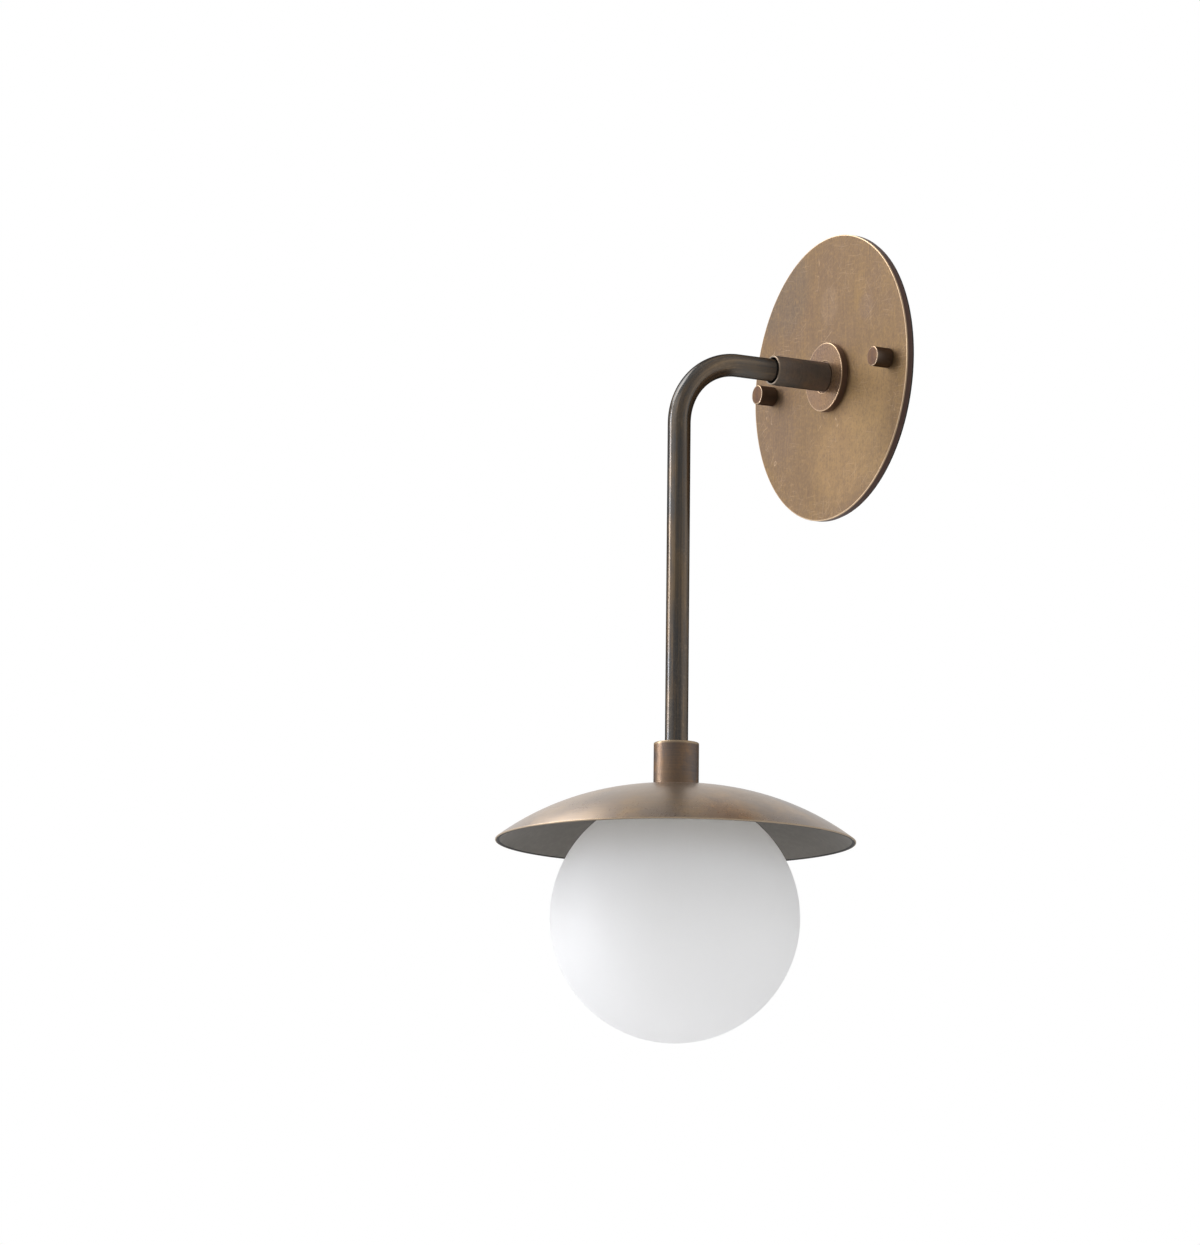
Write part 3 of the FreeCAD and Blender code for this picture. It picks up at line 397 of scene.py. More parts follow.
@dataclass(frozen=True)
class Bloom:
    """A soft round patch of another tone on a face that looks out of the wall.

    Attributes:
        x: Place of its middle across the wall.
        z: Place of its middle up the wall.
        radius: Radius at which it fades out.
        tone: Its colour.
        share: Its strength, from 0 to 1.
        ragged: How far its rim wanders, as a share of the radius.
        core: Radius within which it has its full strength, as a share of the radius.
    """

    x: float
    z: float
    radius: float
    tone: Colour
    share: float
    ragged: float = 0.9
    core: float = 0.55

    def mask(self, sheet: ShaderSheet, place: Signal, patch: Signal) -> Signal:
        """Strength of the patch: a falling step of the distance from its middle, made uneven.

        Args:
            sheet: The material's sheet.
            place: The point's place.
            patch: A noise from 0 to 1.

        Returns:
            The strength, from 0 to share.
        """
        flat = sheet.stretched(sheet.moved(place, (-self.x, 0.0, -self.z)), (1.0, 0.0, 1.0))
        distance = sheet.node("ShaderNodeVectorMath", {"operation": "LENGTH"}, {0: flat}, "Value")
        distance = swayed(distance, (patch, self.radius * self.ragged))
        return distance.above(self.radius, self.radius * self.core) * self.share


@dataclass(frozen=True)
class AgedBrass:
    """Brass that was darkened, brushed and waxed, and is rubbed bright along its edges, with a painted
    highlight there.

    Attributes:
        name: The material's name.
        body: The main colour.
        gold: The colour of warmer patches.
        dusk: The colour of smokier patches.
        edge: The colour of a rubbed edge and of the hairlines: worn brass, and on the roundings also a
            painted highlight.
        shade: The colour of the sides and hollows, where the "skin" attribute is 1; in the bores of
        the arm and the sleeve it is near black, painted shade. It is nearly black where the
        attribute is 2, a painted shadow line.
        grain: How the surface was worked.
        rough: Roughness of the main colour.
        shade_rough: Roughness of the sides and hollows.
        clouds: Patches per metre.
        scratches: Strength of the fine straight hairlines, from 0 to 1.
        curls: Strength of the fine curled hairlines.
        streaks: Strength of the grain in the colour.
        specks: Strength of the fine speckle.
        mottling: Strength of the small soft mottles.
        tooth: Depth of the grain's relief, in metres.
        scratch_depth: Depth of a hairline at full strength.
        mottle_depth: Depth of the mottles' relief at full strength.
        rub_and_highlight: How much the rubbed edges show, worn brass with a painted highlight, from 0 to
            1.
        metal: Metallic share of the main colour.
        shade_metal: Metallic share of the sides and hollows.
        glance: Tint of what is seen in the metal at a glancing angle.
        blooms: Soft patches on faces that look out of the wall.
    """

    name: str
    body: Colour
    gold: Colour
    dusk: Colour
    edge: Colour
    shade: Colour
    grain: Grain
    rough: float = 0.40
    shade_rough: float = 0.5
    clouds: float = 30.0
    scratches: float = 0.3
    curls: float = 0.0
    streaks: float = 0.3
    specks: float = 0.3
    mottling: float = 0.3
    tooth: float = 0.004 * MM
    scratch_depth: float = 0.015 * MM
    mottle_depth: float = 0.02 * MM
    rub_and_highlight: float = 1.0
    metal: float = 1.0
    shade_metal: float = 1.0
    glance: Colour = WHITE
    blooms: tuple[Bloom, ...] = ()

    def material(self) -> bpy.types.Material:
        """Build the material.

        Returns:
            The material.
        """
        material, sheet = new_material(self.name)
        place = sheet.place()
        lay = place if self.grain is Grain.BRUSHED else sheet.stored("lay", "Vector")
        drift = sheet.stretched(lay, self.grain.flow())
        cloud = sheet.noise(drift, self.clouds, 4.0, 0.55)
        patch = sheet.noise(sheet.moved(drift, (0.31, 0.17, 0.43)), self.clouds * 1.6, 4.0, 0.6)
        mottle = sheet.noise(place, MOTTLES, 3.0, 0.65)
        speck = sheet.noise(place, SPECKS, 3.0, 0.7)
        grain = self.worked(sheet, lay)
        hairline = self.hairlines(sheet, place)
        bright = toned(self.gold, BRIGHT_MARK)
        dark = toned(self.dusk, DARK_MARK)
        marks = [(patch.above(*BODY_TO_GOLD) * GOLD_SHARE, self.gold)]
        marks += [(bloom.mask(sheet, place, patch), bloom.tone) for bloom in self.blooms]
        marks += [(mottle.above(*MOTTLED) * self.mottling, self.dusk),
                  (grain.above(*LIGHT_STREAK) * self.streaks, bright),
                  (grain.above(*DARK_STREAK) * self.streaks, dark),
                  (speck.above(*LIGHT_SPECK) * self.specks, bright),
                  (speck.above(*DARK_SPECK) * self.specks, dark),
                  (hairline * self.scratches, self.edge)]
        if self.curls:
            marks.append((self.curled(sheet, place) * self.curls, self.edge))
        colour = sheet.mixed(cloud.above(*DUSK_TO_BODY), self.dusk, self.body)
        for share, tone in marks:
            colour = sheet.mixed(share, colour, tone)
        marked = sheet.stored("skin")
        skin = sheet.maths("MINIMUM", marked, 1.0)
        pale = mottle.above(*MOTTLED_SIDE) * SIDE_MOTTLE_SHARE
        side = sheet.mixed(pale, self.shade, toned(self.shade, PALE_SIDE))
        # Painted shadow: nearly black where the skin attribute is 2, inside the dome's cut edge
        side = sheet.mixed(marked.above(*PAINTED_SHADOW_SKIN) * PAINTED_SHADOW_SHARE, side, toned(self.shade, PAINTED_SHADOW_TONE))
        # Rubbed edges take the bright tone: worn brass, and a painted highlight on the roundings
        uneven = swayed(1.0, (sheet.noise(place, WEAR_AND_HIGHLIGHT_PATCHES, 4.0, 0.7), 1.1))
        wear_and_highlight = (sheet.stored("wear_and_highlight") * uneven).above(*RUBBED_AND_HIGHLIT) * self.rub_and_highlight
        colour = sheet.mixed(wear_and_highlight, sheet.mixed(skin, colour, side), self.edge)
        rough = swayed(self.rough, (cloud, 0.12), (mottle, 0.08), (speck, 0.06))
        rough = rough * (1.0 - skin) + self.shade_rough * skin - wear_and_highlight * 0.10 - hairline * 0.05
        metal = self.metal + skin * (self.shade_metal - self.metal)
        normal = sheet.relief(grain, self.tooth)
        normal = sheet.relief(hairline, -self.scratches * self.scratch_depth, normal)
        normal = sheet.relief(mottle, self.mottling * self.mottle_depth, normal)
        others = {"Metallic": metal, "Specular Tint": paint(self.glance)}
        sheet.finish(sheet.principled(colour, rough, normal, others))
        return material

    def worked(self, sheet: ShaderSheet, lay: Signal) -> Signal:
        """The grain that working the surface left.

        Brushing gives short upright streaks. A turned piece has rings, which change with the
        distance from the axis and with the height, and hardly change on the way round.

        Args:
            sheet: The material's sheet.
            lay: The point's place in the frame, or on the piece with its axis made straight.

        Returns:
            A value from 0 to 1, about 0.5 on average.
        """
        if self.grain is Grain.BRUSHED:
            return sheet.noise(sheet.stretched(lay, BRUSH_STROKES), 1.0, 3.0, 0.6)
        if self.grain is Grain.DRAWN:
            return sheet.noise(sheet.stretched(lay, DRAW_STREAKS), 1.0, 4.0, 0.6)
        across, along, height = sheet.parts(lay)
        rings = {"X": sheet.off_axis(across, along) * RINGS + along * RING_BREAKS, "Y": height * RINGS,
                 "Z": across * RING_BREAKS}
        return sheet.noise(sheet.node("ShaderNodeCombineXYZ", None, rings), 1.0, 2.0, 0.5)

    def hairlines(self, sheet: ShaderSheet, place: Signal) -> Signal:
        """Fine straight hairlines that cross at many angles.

        Each set is a noise that is drawn out along its own line in the wall's plane, forty times as
        long as it is wide, and shows only where the noise is strongest.

        Args:
            sheet: The material's sheet.
            place: The point's place.

        Returns:
            1 on a hairline and 0 beside it.
        """
        _, depth, _ = sheet.parts(place)
        total: Optional[Signal] = None
        wide, long, deep = HAIRLINES
        for number in range(HAIRLINE_SETS):
            angle = HAIRLINE_START + HAIRLINE_TURN * number
            along = sheet.along(place, (math.cos(angle), 0.0, math.sin(angle)))
            across = sheet.along(place, (-math.sin(angle), 0.0, math.cos(angle)))
            spot = {"X": across * wide, "Y": along * long, "Z": depth * deep + HAIRLINE_SHIFT * number}
            line = sheet.noise(sheet.node("ShaderNodeCombineXYZ", None, spot), 1.0, 1.0, 0.5)
            line = line.above(*HAIRLINE)
            total = line if total is None else sheet.maths("MAXIMUM", total, line)
        groups = sheet.noise(sheet.moved(place, (0.9, 0.4, 0.2)), HAIRLINE_GROUPS, 2.0, 0.5)
        return total * groups.above(*HAIRLINE_GROUP)

    def curled(self, sheet: ShaderSheet, place: Signal) -> Signal:
        """Fine curled hairlines: the level lines of a noise, broken into short arcs in loose groups.

        Args:
            sheet: The material's sheet.
            place: The point's place.

        Returns:
            1 on a hairline and 0 beside it.
        """
        level = sheet.noise(sheet.moved(place, (0.2, 0.3, 0.6)), CURLS, 1.0, 0.4, 0.4)
        broken = sheet.noise(sheet.moved(place, (0.5, 0.2, 0.1)), CURL_BREAKS, 1.0, 0.5)
        groups = sheet.noise(sheet.moved(place, (0.7, 0.1, 0.3)), CURL_GROUPS, 1.0, 0.5)
        return abs(level - 0.5).above(*CURL) * broken.above(*CURL_GROUP) * groups.above(*CURL_GROUP)


@dataclass(frozen=True)
class OpalGlass:
    """Acid-etched opal glass, which sends back a part of the light and lets the rest through.

    Light that comes in all round the ball leaves it all round too, so the glass under the shade is
    lit from within.

    Attributes:
        name: The material's name.
        tint: The colour of the glass.
        rough: Roughness of the etched skin.
        through: Share of the light that the outer skin lets through. The inner skin, where the
            "skin" attribute is 1, lets all of it through, so the two act as one layer.
        thin: How much more the blown glass lets through where it thins out towards the neck.
        thin_level: Height above which it is thinnest.
        thick_level: Height below which it has its full thickness.
        neck_shade_tone: Painted shade at the neck, tinted warm as a painted reflection of the brass close
            above it; the light let through there takes it too.
        neck_shade_share: Share of that painted shade there.
        shoulder_level: Height below which it has none of it.
        neck_level: Height above which it has most of it.
        clear: Tint of the light that the glass lets through elsewhere.
        flows: Waves of the glass in a metre.
        etching: Grains of the etched skin in a metre.
        tooth: Depth of the etched skin's relief.
    """

    name: str = "opal_glass"
    tint: Colour = (0.968, 0.968, 0.976)
    rough: float = 0.46
    through: float = 0.42
    thin: float = 0.30
    thin_level: float = -226.0 * MM
    thick_level: float = -270.0 * MM
    neck_shade_tone: Colour = (0.42, 0.35, 0.25)
    neck_shade_share: float = 0.20
    shoulder_level: float = -230.0 * MM
    neck_level: float = -205.0 * MM
    clear: Colour = (0.99, 0.99, 0.99)
    flows: float = 22.0
    etching: float = 2600.0
    tooth: float = 0.004 * MM

    def material(self) -> bpy.types.Material:
        """Build the material.

        Returns:
            The material.
        """
        material, sheet = new_material(self.name)
        place = sheet.place()
        flow = sheet.noise(sheet.stretched(place, (1.0, 1.0, 0.45)), self.flows, 3.0, 0.5, 0.4)
        etch = sheet.noise(place, self.etching, 2.0, 0.6)
        _, _, height = sheet.parts(place)
        # Painted shade near the neck, warm as a painted reflection of the brass above
        neck_shading = height.above(self.shoulder_level, self.neck_level) * self.neck_shade_share
        colour = sheet.mixed(flow.above(*FLOWING), self.tint, toned(self.tint, DENSE_GLASS))
        colour = sheet.mixed(neck_shading, colour, self.neck_shade_tone)
        rough = swayed(self.rough, (etch, 0.10))
        sent_back = sheet.principled(colour, rough, sheet.relief(etch, self.tooth), {"IOR": 1.5})
        # The light let through takes the same painted shade at the neck
        clear, shaded_neck_light = (sheet.node("ShaderNodeBsdfTranslucent", None, {"Color": paint(tint)})
                       for tint in (self.clear, self.neck_shade_tone))
        share = self.through + height.above(self.thick_level, self.thin_level) * self.thin
        skin = sheet.stored("skin")
        share = share * (1.0 - skin) + skin
        sheet.finish(sheet.blended(share, sent_back, sheet.blended(neck_shading, clear, shaded_neck_light)))
        return material


@dataclass(frozen=True)
class PlatedMetal:
    """A plated or machined metal with a faint grain and small marks.

    Attributes:
        name: The material's name.
        body: The main colour.
        dull: The colour where the plating is dull.
        rough: Roughness.
        marks: Strength of the dull patches, from 0 to 1.
        patches: Dull patches in a metre.
        tooth: Depth of the grain's relief.
    """

    name: str
    body: Colour
    dull: Colour
    rough: float = 0.32
    marks: float = 0.6
    patches: float = 160.0
    tooth: float = 0.003 * MM

    def material(self) -> bpy.types.Material:
        """Build the material.

        Returns:
            The material.
        """
        material, sheet = new_material(self.name)
        place = sheet.place()
        cloud = sheet.noise(place, self.patches, 4.0, 0.6)
        grain = sheet.noise(sheet.stretched(place, PLATING_LINES), 1.0, 2.0, 0.5)
        colour = sheet.mixed(cloud.above(*DULLED) * self.marks, self.body, self.dull)
        rough = swayed(self.rough, (cloud, 0.25), (grain, 0.08))
        normal = sheet.relief(grain, self.tooth)
        sheet.finish(sheet.principled(colour, rough, normal, {"Metallic": 1.0}))
        return material


@dataclass(frozen=True)
class Moulding:
    """A moulded or fired material that doesn't reflect as metal does.

    Attributes:
        name: The material's name.
        body: The main colour.
        fleck: The colour of the fine speckle.
        rough: Roughness.
        grain: Specks per metre.
        depth: Depth of the surface's relief, in metres.
        soft: Subsurface share.
        bleed: How far light spreads under the surface.
        clouds: Smoother and rougher patches in a metre.
    """

    name: str
    body: Colour
    fleck: Colour
    rough: float = 0.5
    grain: float = 1800.0
    depth: float = 0.006 * MM
    soft: float = 0.0
    bleed: float = 1.0 * MM
    clouds: float = 90.0

    def material(self) -> bpy.types.Material:
        """Build the material.

        Returns:
            The material.
        """
        material, sheet = new_material(self.name)
        place = sheet.place()
        speck = sheet.noise(place, self.grain, 2.0, 0.6)
        cloud = sheet.noise(place, self.clouds, 3.0, 0.5)
        colour = sheet.mixed(speck.above(*FLECKED) * FLECK_SHARE, self.body, self.fleck)
        rough = swayed(self.rough, (cloud, 0.14))
        under = {"Subsurface Weight": self.soft, "Subsurface Radius": WHITE,
                 "Subsurface Scale": self.bleed}
        sheet.finish(sheet.principled(colour, rough, sheet.relief(speck, self.depth), under))
        return material


@dataclass(frozen=True)
class StripedSleeving:
    """Lead insulation with a stripe along it.

    Attributes:
        name: The material's name.
        ground: The main colour.
        stripe: The stripe's colour.
        half_width: Half of the stripe's width, measured up and down across the lead.
        blur: Half of the width over which the stripe fades, as a share of half_width.
        rough: Roughness.
        grain: Specks in a metre.
        depth: Depth of the surface's relief.
    """

    name: str
    ground: Colour
    stripe: Colour
    half_width: float
    blur: float = 0.08
    rough: float = 0.42
    grain: float = 2200.0
    depth: float = 0.004 * MM

    def material(self) -> bpy.types.Material:
        """Build the material.

        Returns:
            The material.
        """
        material, sheet = new_material(self.name)
        place = sheet.place()
        _, _, up = sheet.parts(place)
        speck = sheet.noise(place, self.grain, 2.0, 0.6)
        band = abs(up).above(self.half_width * (1 + self.blur), self.half_width * (1 - self.blur))
        colour = sheet.mixed(band, self.ground, self.stripe)
        rough = swayed(self.rough, (speck, 0.15))
        sheet.finish(sheet.principled(colour, rough, sheet.relief(speck, self.depth)))
        return material


def new_material(name: str) -> tuple[bpy.types.Material, ShaderSheet]:
    """A new material with an empty sheet.

    Args:
        name: The material's name.

    Returns:
        The material and its sheet.
    """
    material = bpy.data.materials.new(name)
    material.use_nodes = True
    return material, ShaderSheet(material.node_tree)


# Turned and swept surfaces

# Share of a stretch that is stepped along to find its way
HEADING_STEP_SHARE = 1e-4


@dataclass(frozen=True)
class Corner:
    """A corner of a turned outline, with what the stretch after it is like.

    Attributes:
        radius: Distance from the axis.
        height: Place along the axis.
        rounding: Radius of the corner's own rounding.
        wear_and_highlight: How far the corner is rubbed bright, worn brass with a painted highlight, from
            0 to 1.
        bow: Radius of the arc to the next corner, 0 for a straight stretch. The arc swells to the
            left of the way where it is positive.
        rings: Rings of vertices on the stretch to the next corner.
        skin: The "skin" attribute of that stretch, 0 for a face that shows, 1 for a side or hollow
        and 2 for a cut edge painted dark as shadow.
    """

    radius: float
    height: float
    rounding: float = 0.0
    wear_and_highlight: float = 0.0
    bow: float = 0.0
    rings: int = 8
    skin: float = 0.0

    def point(self) -> np.ndarray:
        """The corner as an array of radius and height."""
        return np.array([self.radius, self.height])


@dataclass(frozen=True)
class Stretch:
    """The line or arc of an outline between two sharp corners."""

    start: np.ndarray
    end: np.ndarray
    bow: float

    def centre(self) -> np.ndarray:
        """Middle of the arc, off the chord's by the root of bow squared less half chord squared."""
        chord = self.end - self.start
        length = float(np.hypot(*chord))
        left = np.array([-chord[1], chord[0]]) / length
        off = math.sqrt(self.bow ** 2 - (length / 2) ** 2)
        return (self.start + self.end) / 2 - left * math.copysign(off, self.bow)

    def length(self) -> float:
        """Length of the line or arc: twice the radius times the arcsine of half chord over radius."""
        chord = float(np.hypot(*(self.end - self.start)))
        if not self.bow:
            return chord
        return 2 * abs(self.bow) * math.asin(chord / 2 / abs(self.bow))

    def at(self, distances: np.ndarray) -> np.ndarray:
        """Points at distances from the start.

        Args:
            distances: Distances along the stretch.

        Returns:
            One row of radius and height for each distance.
        """
        if not self.bow:
            return self.start + np.outer(distances / self.length(), self.end - self.start)
        centre = self.centre()
        spoke = self.start - centre
        angles = -distances / self.bow
        turn = np.stack([np.cos(angles), -np.sin(angles), np.sin(angles), np.cos(angles)], -1)
        return centre + turn.reshape(-1, 2, 2) @ spoke

    def heading(self, distance: float) -> np.ndarray:
        """The way that the stretch runs at a distance from its start, as a unit vector."""
        step = self.length() * HEADING_STEP_SHARE
        ends = self.at(np.array([max(distance - step, 0.0), min(distance + step, self.length())]))
        way = ends[1] - ends[0]
        return way / np.hypot(*way)


@dataclass
class Rings:
    """The rings of vertices of a turned surface, one entry for each ring."""

    radius: np.ndarray
    height: np.ndarray
    wear_and_highlight: np.ndarray
    skin: np.ndarray
    closed: bool


@dataclass(frozen=True)
class Outline:
    """The outline of a turned piece, through its corners in order.

    Attributes:
        corners: The corners. An outline that isn't closed starts and ends on the axis.
        closed: Whether the last corner is joined to the first.
        spread: Distance over which a corner's rubbed brightness, wear with a painted highlight, fades
            away.
        steps: Steps in each corner's rounding.
    """

    corners: Sequence[Corner]
    closed: bool = True
    spread: float = 0.45 * MM
    steps: int = 5

    def trace(self) -> Rings:
        """Rings along the outline: each stretch less its roundings, in cosine steps, then a rounding.

        A corner of turn a and rounding r takes r times tan(a / 2) off both stretches beside it. The
        rubbed brightness, wear with a painted highlight, is the corner's own on its rounding, and falls
        off beside it as exp(-(distance / spread)^2).

        Returns:
            The rings.
        """
        corners = list(self.corners)
        count = len(corners) if self.closed else len(corners) - 1
        stretches = [Stretch(corners[i].point(), corners[(i + 1) % len(corners)].point(), corners[i].bow)
                     for i in range(count)]
        trims = [self.trim(stretches, i) for i in range(len(corners))]
        points, wear_and_highlight, skin = [], [], []
        for index, stretch in enumerate(stretches):
            here = corners[index]
            after = (index + 1) % len(corners)
            usable = stretch.length() - trims[index] - trims[after]
            share = (1 - np.cos(np.linspace(0, math.pi, here.rings + 1))) / 2
            points.append(stretch.at(trims[index] + usable * share))
            near = here.wear_and_highlight * np.exp(-(usable * share / self.spread) ** 2)
            far = corners[after].wear_and_highlight * np.exp(-(usable * (1 - share) / self.spread) ** 2)
            wear_and_highlight.append(np.maximum(near, far))
            skin.append(np.full(here.rings + 1, here.skin))
            if self.closed or after < len(corners) - 1:
                arc = self.rounded(stretch, stretches[(index + 1) % count], corners[after].rounding)
                points.append(arc)
                wear_and_highlight.append(np.full(len(arc), corners[after].wear_and_highlight))
                blend = np.linspace(0, 1, len(arc) + 2)[1:-1]
                skin.append(here.skin * (1 - blend) + corners[after].skin * blend)
        outline = np.concatenate(points)
        return Rings(np.abs(outline[:, 0]), outline[:, 1], np.concatenate(wear_and_highlight), np.concatenate(skin),
                     self.closed)

    def trim(self, stretches: Sequence[Stretch], index: int) -> float:
        """Length that the rounding of a corner takes off each stretch beside it."""
        corner = self.corners[index]
        if not corner.rounding or (not self.closed and index in (0, len(self.corners) - 1)):
            return 0.0
        before, after = stretches[index - 1], stretches[index % len(stretches)]
        return corner.rounding * math.tan(turn_between(before, after) / 2)

    def rounded(self, before: Stretch, after: Stretch, rounding: float) -> np.ndarray:
        """Points inside a corner's rounding, its two ends left out.

        Args:
            before: The stretch that ends at the corner.
            after: The stretch that starts there.
            rounding: The rounding's radius.

        Returns:
            Rows of radius and height, none where the corner is sharp.
        """
        if not rounding:
            return np.zeros((0, 2))
        first = before.heading(before.length())
        second = after.heading(0.0)
        turn = turn_between(before, after)
        side = math.copysign(1.0, first[0] * second[1] - first[1] * second[0])
        begin = after.start - first * rounding * math.tan(turn / 2)
        inward = np.array([-first[1], first[0]]) * side
        angles = np.linspace(0, turn, self.steps + 2)[1:-1]
        return (begin + inward * rounding + rounding
                * (np.outer(np.sin(angles), first) - np.outer(np.cos(angles), inward)))


def turn_between(before: Stretch, after: Stretch) -> float:
    """The angle by which an outline turns from one stretch to the next."""
    first = before.heading(before.length())
    second = after.heading(0.0)
    return math.acos(max(-1.0, min(1.0, float(first @ second))))


@dataclass(frozen=True)
class StraightAxis:
    """A straight axis to turn a piece about.

    Attributes:
        origin: Where the height is 0.
        along: The way that height grows.
        side: A way across the axis, where the turn's angle is 0.
    """

    origin: Vector
    along: Vector
    side: Vector = Vector((1.0, 0.0, 0.0))

    def frames(self, heights: np.ndarray) -> tuple[np.ndarray, np.ndarray, np.ndarray]:
        """Centre, side and cross vectors at each height.

        Args:
            heights: Places along the axis.

        Returns:
            Three arrays with a row for each height: centre is origin plus height times along.
        """
        centres = np.array(self.origin) + np.outer(heights, np.array(self.along))
        sides = np.tile(np.array(self.side), (len(heights), 1))
        crosses = np.tile(np.array(self.along.cross(self.side)), (len(heights), 1))
        return centres, sides, crosses


@dataclass(frozen=True)
class ArmAxis:
    """The arm's line: out of the wall, round a quarter bend, and straight down.

    Attributes:
        start: Distance from the wall at which the line begins.
        reach: Distance from the wall of the downward run.
        bend: Radius of the bend.
        end: Depth below the arm's own level at which the line ends.
    """

    start: float
    reach: float
    bend: float
    end: float

    def length(self) -> float:
        """Length of the level run, the bend and the drop."""
        return (self.reach - self.bend - self.start) + math.pi / 2 * self.bend + (self.end - self.bend)

    def frames(self, heights: np.ndarray) -> tuple[np.ndarray, np.ndarray, np.ndarray]:
        """Centre, side and cross vectors at distances along the line.

        On the bend the way has turned by the distance into the bend over its radius. The side
        vector is +X all the way, and the cross vector lies in the arm's plane.

        Args:
            heights: Distances along the line from its start.

        Returns:
            Three arrays with a row for each distance.
        """
        level = self.reach - self.bend - self.start
        turn = np.clip((heights - level) / self.bend, 0, math.pi / 2)
        out = self.start + np.minimum(heights, level) + self.bend * np.sin(turn)
        beyond = np.maximum(heights - level - math.pi / 2 * self.bend, 0)
        down = self.bend * (1 - np.cos(turn)) + beyond
        zero = np.zeros_like(heights)
        centres = np.stack([zero, -out, -down], -1)
        sides = np.tile([1.0, 0.0, 0.0], (len(heights), 1))
        crosses = np.stack([zero, -np.sin(turn), np.cos(turn)], -1)
        return centres, sides, crosses


Axis = Union[StraightAxis, ArmAxis]


def turned_piece(name: str, rings: Rings, axis: Axis, segments: int,
                 relief: Optional[Relief] = None) -> bpy.types.Object:
    """A surface turned about an axis, which may bend.

    A vertex at ring h and angle a is centre(h) + r * (cos(a) * side(h) + sin(a) * cross(h)), where r
    is the ring's radius plus the relief at that angle and height. The "lay" attribute holds
    (r cos a, r sin a, h), the same point with the axis made straight.

    Args:
        name: The piece's name.
        rings: The rings of its outline.
        axis: The line that it is turned about.
        segments: Vertices in each ring.
        relief: A change of radius worked out from arrays of angle and height.

    Returns:
        The piece, linked to the scene, with its faces outwards.
    """
    angles = np.linspace(0, 2 * math.pi, segments, endpoint=False)
    radii = np.repeat(rings.radius[:, None], segments, 1)
    if relief is not None:
        heights = np.repeat(rings.height[:, None], segments, 1)
        radii = radii + relief(np.repeat(angles[None, :], len(rings.radius), 0), heights)
    centres, sides, crosses = axis.frames(rings.height)
    across, up = radii * np.cos(angles), radii * np.sin(angles)
    points = centres[:, None] + across[..., None] * sides[:, None] + up[..., None] * crosses[:, None]
    lay = np.stack([across, up, np.repeat(rings.height[:, None], segments, 1)], -1)
    ids = np.arange(points.shape[0] * segments).reshape(-1, segments)
    if not rings.closed:
        ids[0], ids[-1] = ids[0, 0], ids[-1, 0]
    rows = np.concatenate([ids, ids[:1]]) if rings.closed else ids
    beside = np.roll(rows, -1, 1)
    quads = np.stack([rows[:-1], rows[1:], beside[1:], beside[:-1]], -1)
    triangles = np.zeros((0, 3), int)
    if not rings.closed:
        triangles = np.concatenate([quads[0][:, [0, 1, 2]], quads[-1][:, [0, 1, 3]]])
        quads = quads[1:-1]
    stored = {"wear_and_highlight": np.repeat(rings.wear_and_highlight, segments), "skin": np.repeat(rings.skin, segments),
              "lay": lay.reshape(-1, 3)}
    return mesh_piece(name, points.reshape(-1, 3), quads.reshape(-1, 4), triangles, stored)


def mesh_piece(name: str, points: np.ndarray, quads: np.ndarray, triangles: np.ndarray,
               stored: dict[str, np.ndarray]) -> bpy.types.Object:
    """A mesh object from arrays, with unused points dropped and its faces turned outwards.

    The volume inside is the sum of a . (b x c) / 6 over the faces' triangles. Where it is
    negative, the corners of every face are put in the other order.

    Args:
        name: The object's name.
        points: One row for each vertex.
        quads: Four vertex numbers for each quad.
        triangles: Three vertex numbers for each triangle.
        stored: Attributes by name, with a number or three for each vertex.

    Returns:
        The object, linked to the scene.
    """
    split = np.concatenate([quads[:, [0, 1, 2]], quads[:, [0, 2, 3]], triangles])
    a, b, c = (points[split[:, corner]] for corner in range(3))
    if np.einsum("ij,ij->i", a - points.mean(0), np.cross(b - a, c - a)).sum() < 0:
        quads, triangles = quads[:, ::-1], triangles[:, ::-1]
    used, corners = np.unique(np.concatenate([quads.ravel(), triangles.ravel()]), return_inverse=True)
    sizes = np.concatenate([np.full(len(quads), 4), np.full(len(triangles), 3)])
    mesh = bpy.data.meshes.new(name)
    mesh.vertices.add(len(used))
    mesh.vertices.foreach_set("co", points[used].astype(np.float32).ravel())
    mesh.loops.add(len(corners))
    mesh.loops.foreach_set("vertex_index", corners.astype(np.int32).ravel())
    mesh.polygons.add(len(sizes))
    mesh.polygons.foreach_set("loop_start", (np.cumsum(sizes) - sizes).astype(np.int32))
    for key, values in stored.items():
        vector = values.ndim == 2
        attribute = mesh.attributes.new(key, "FLOAT_VECTOR" if vector else "FLOAT", "POINT")
        flat = values[used].astype(np.float32).ravel()
        attribute.data.foreach_set("vector" if vector else "value", flat)
    mesh.update(calc_edges=True)
    mesh.shade_smooth()
    if mesh.validate():
        LOG.warning("%s had faces that were mended", name)
    piece = bpy.data.objects.new(name, mesh)
    bpy.context.scene.collection.objects.link(piece)
    return piece


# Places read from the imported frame

OUT_OF_WALL = Vector((0.0, -1.0, 0.0))
UPWARDS = Vector((0.0, 0.0, 1.0))


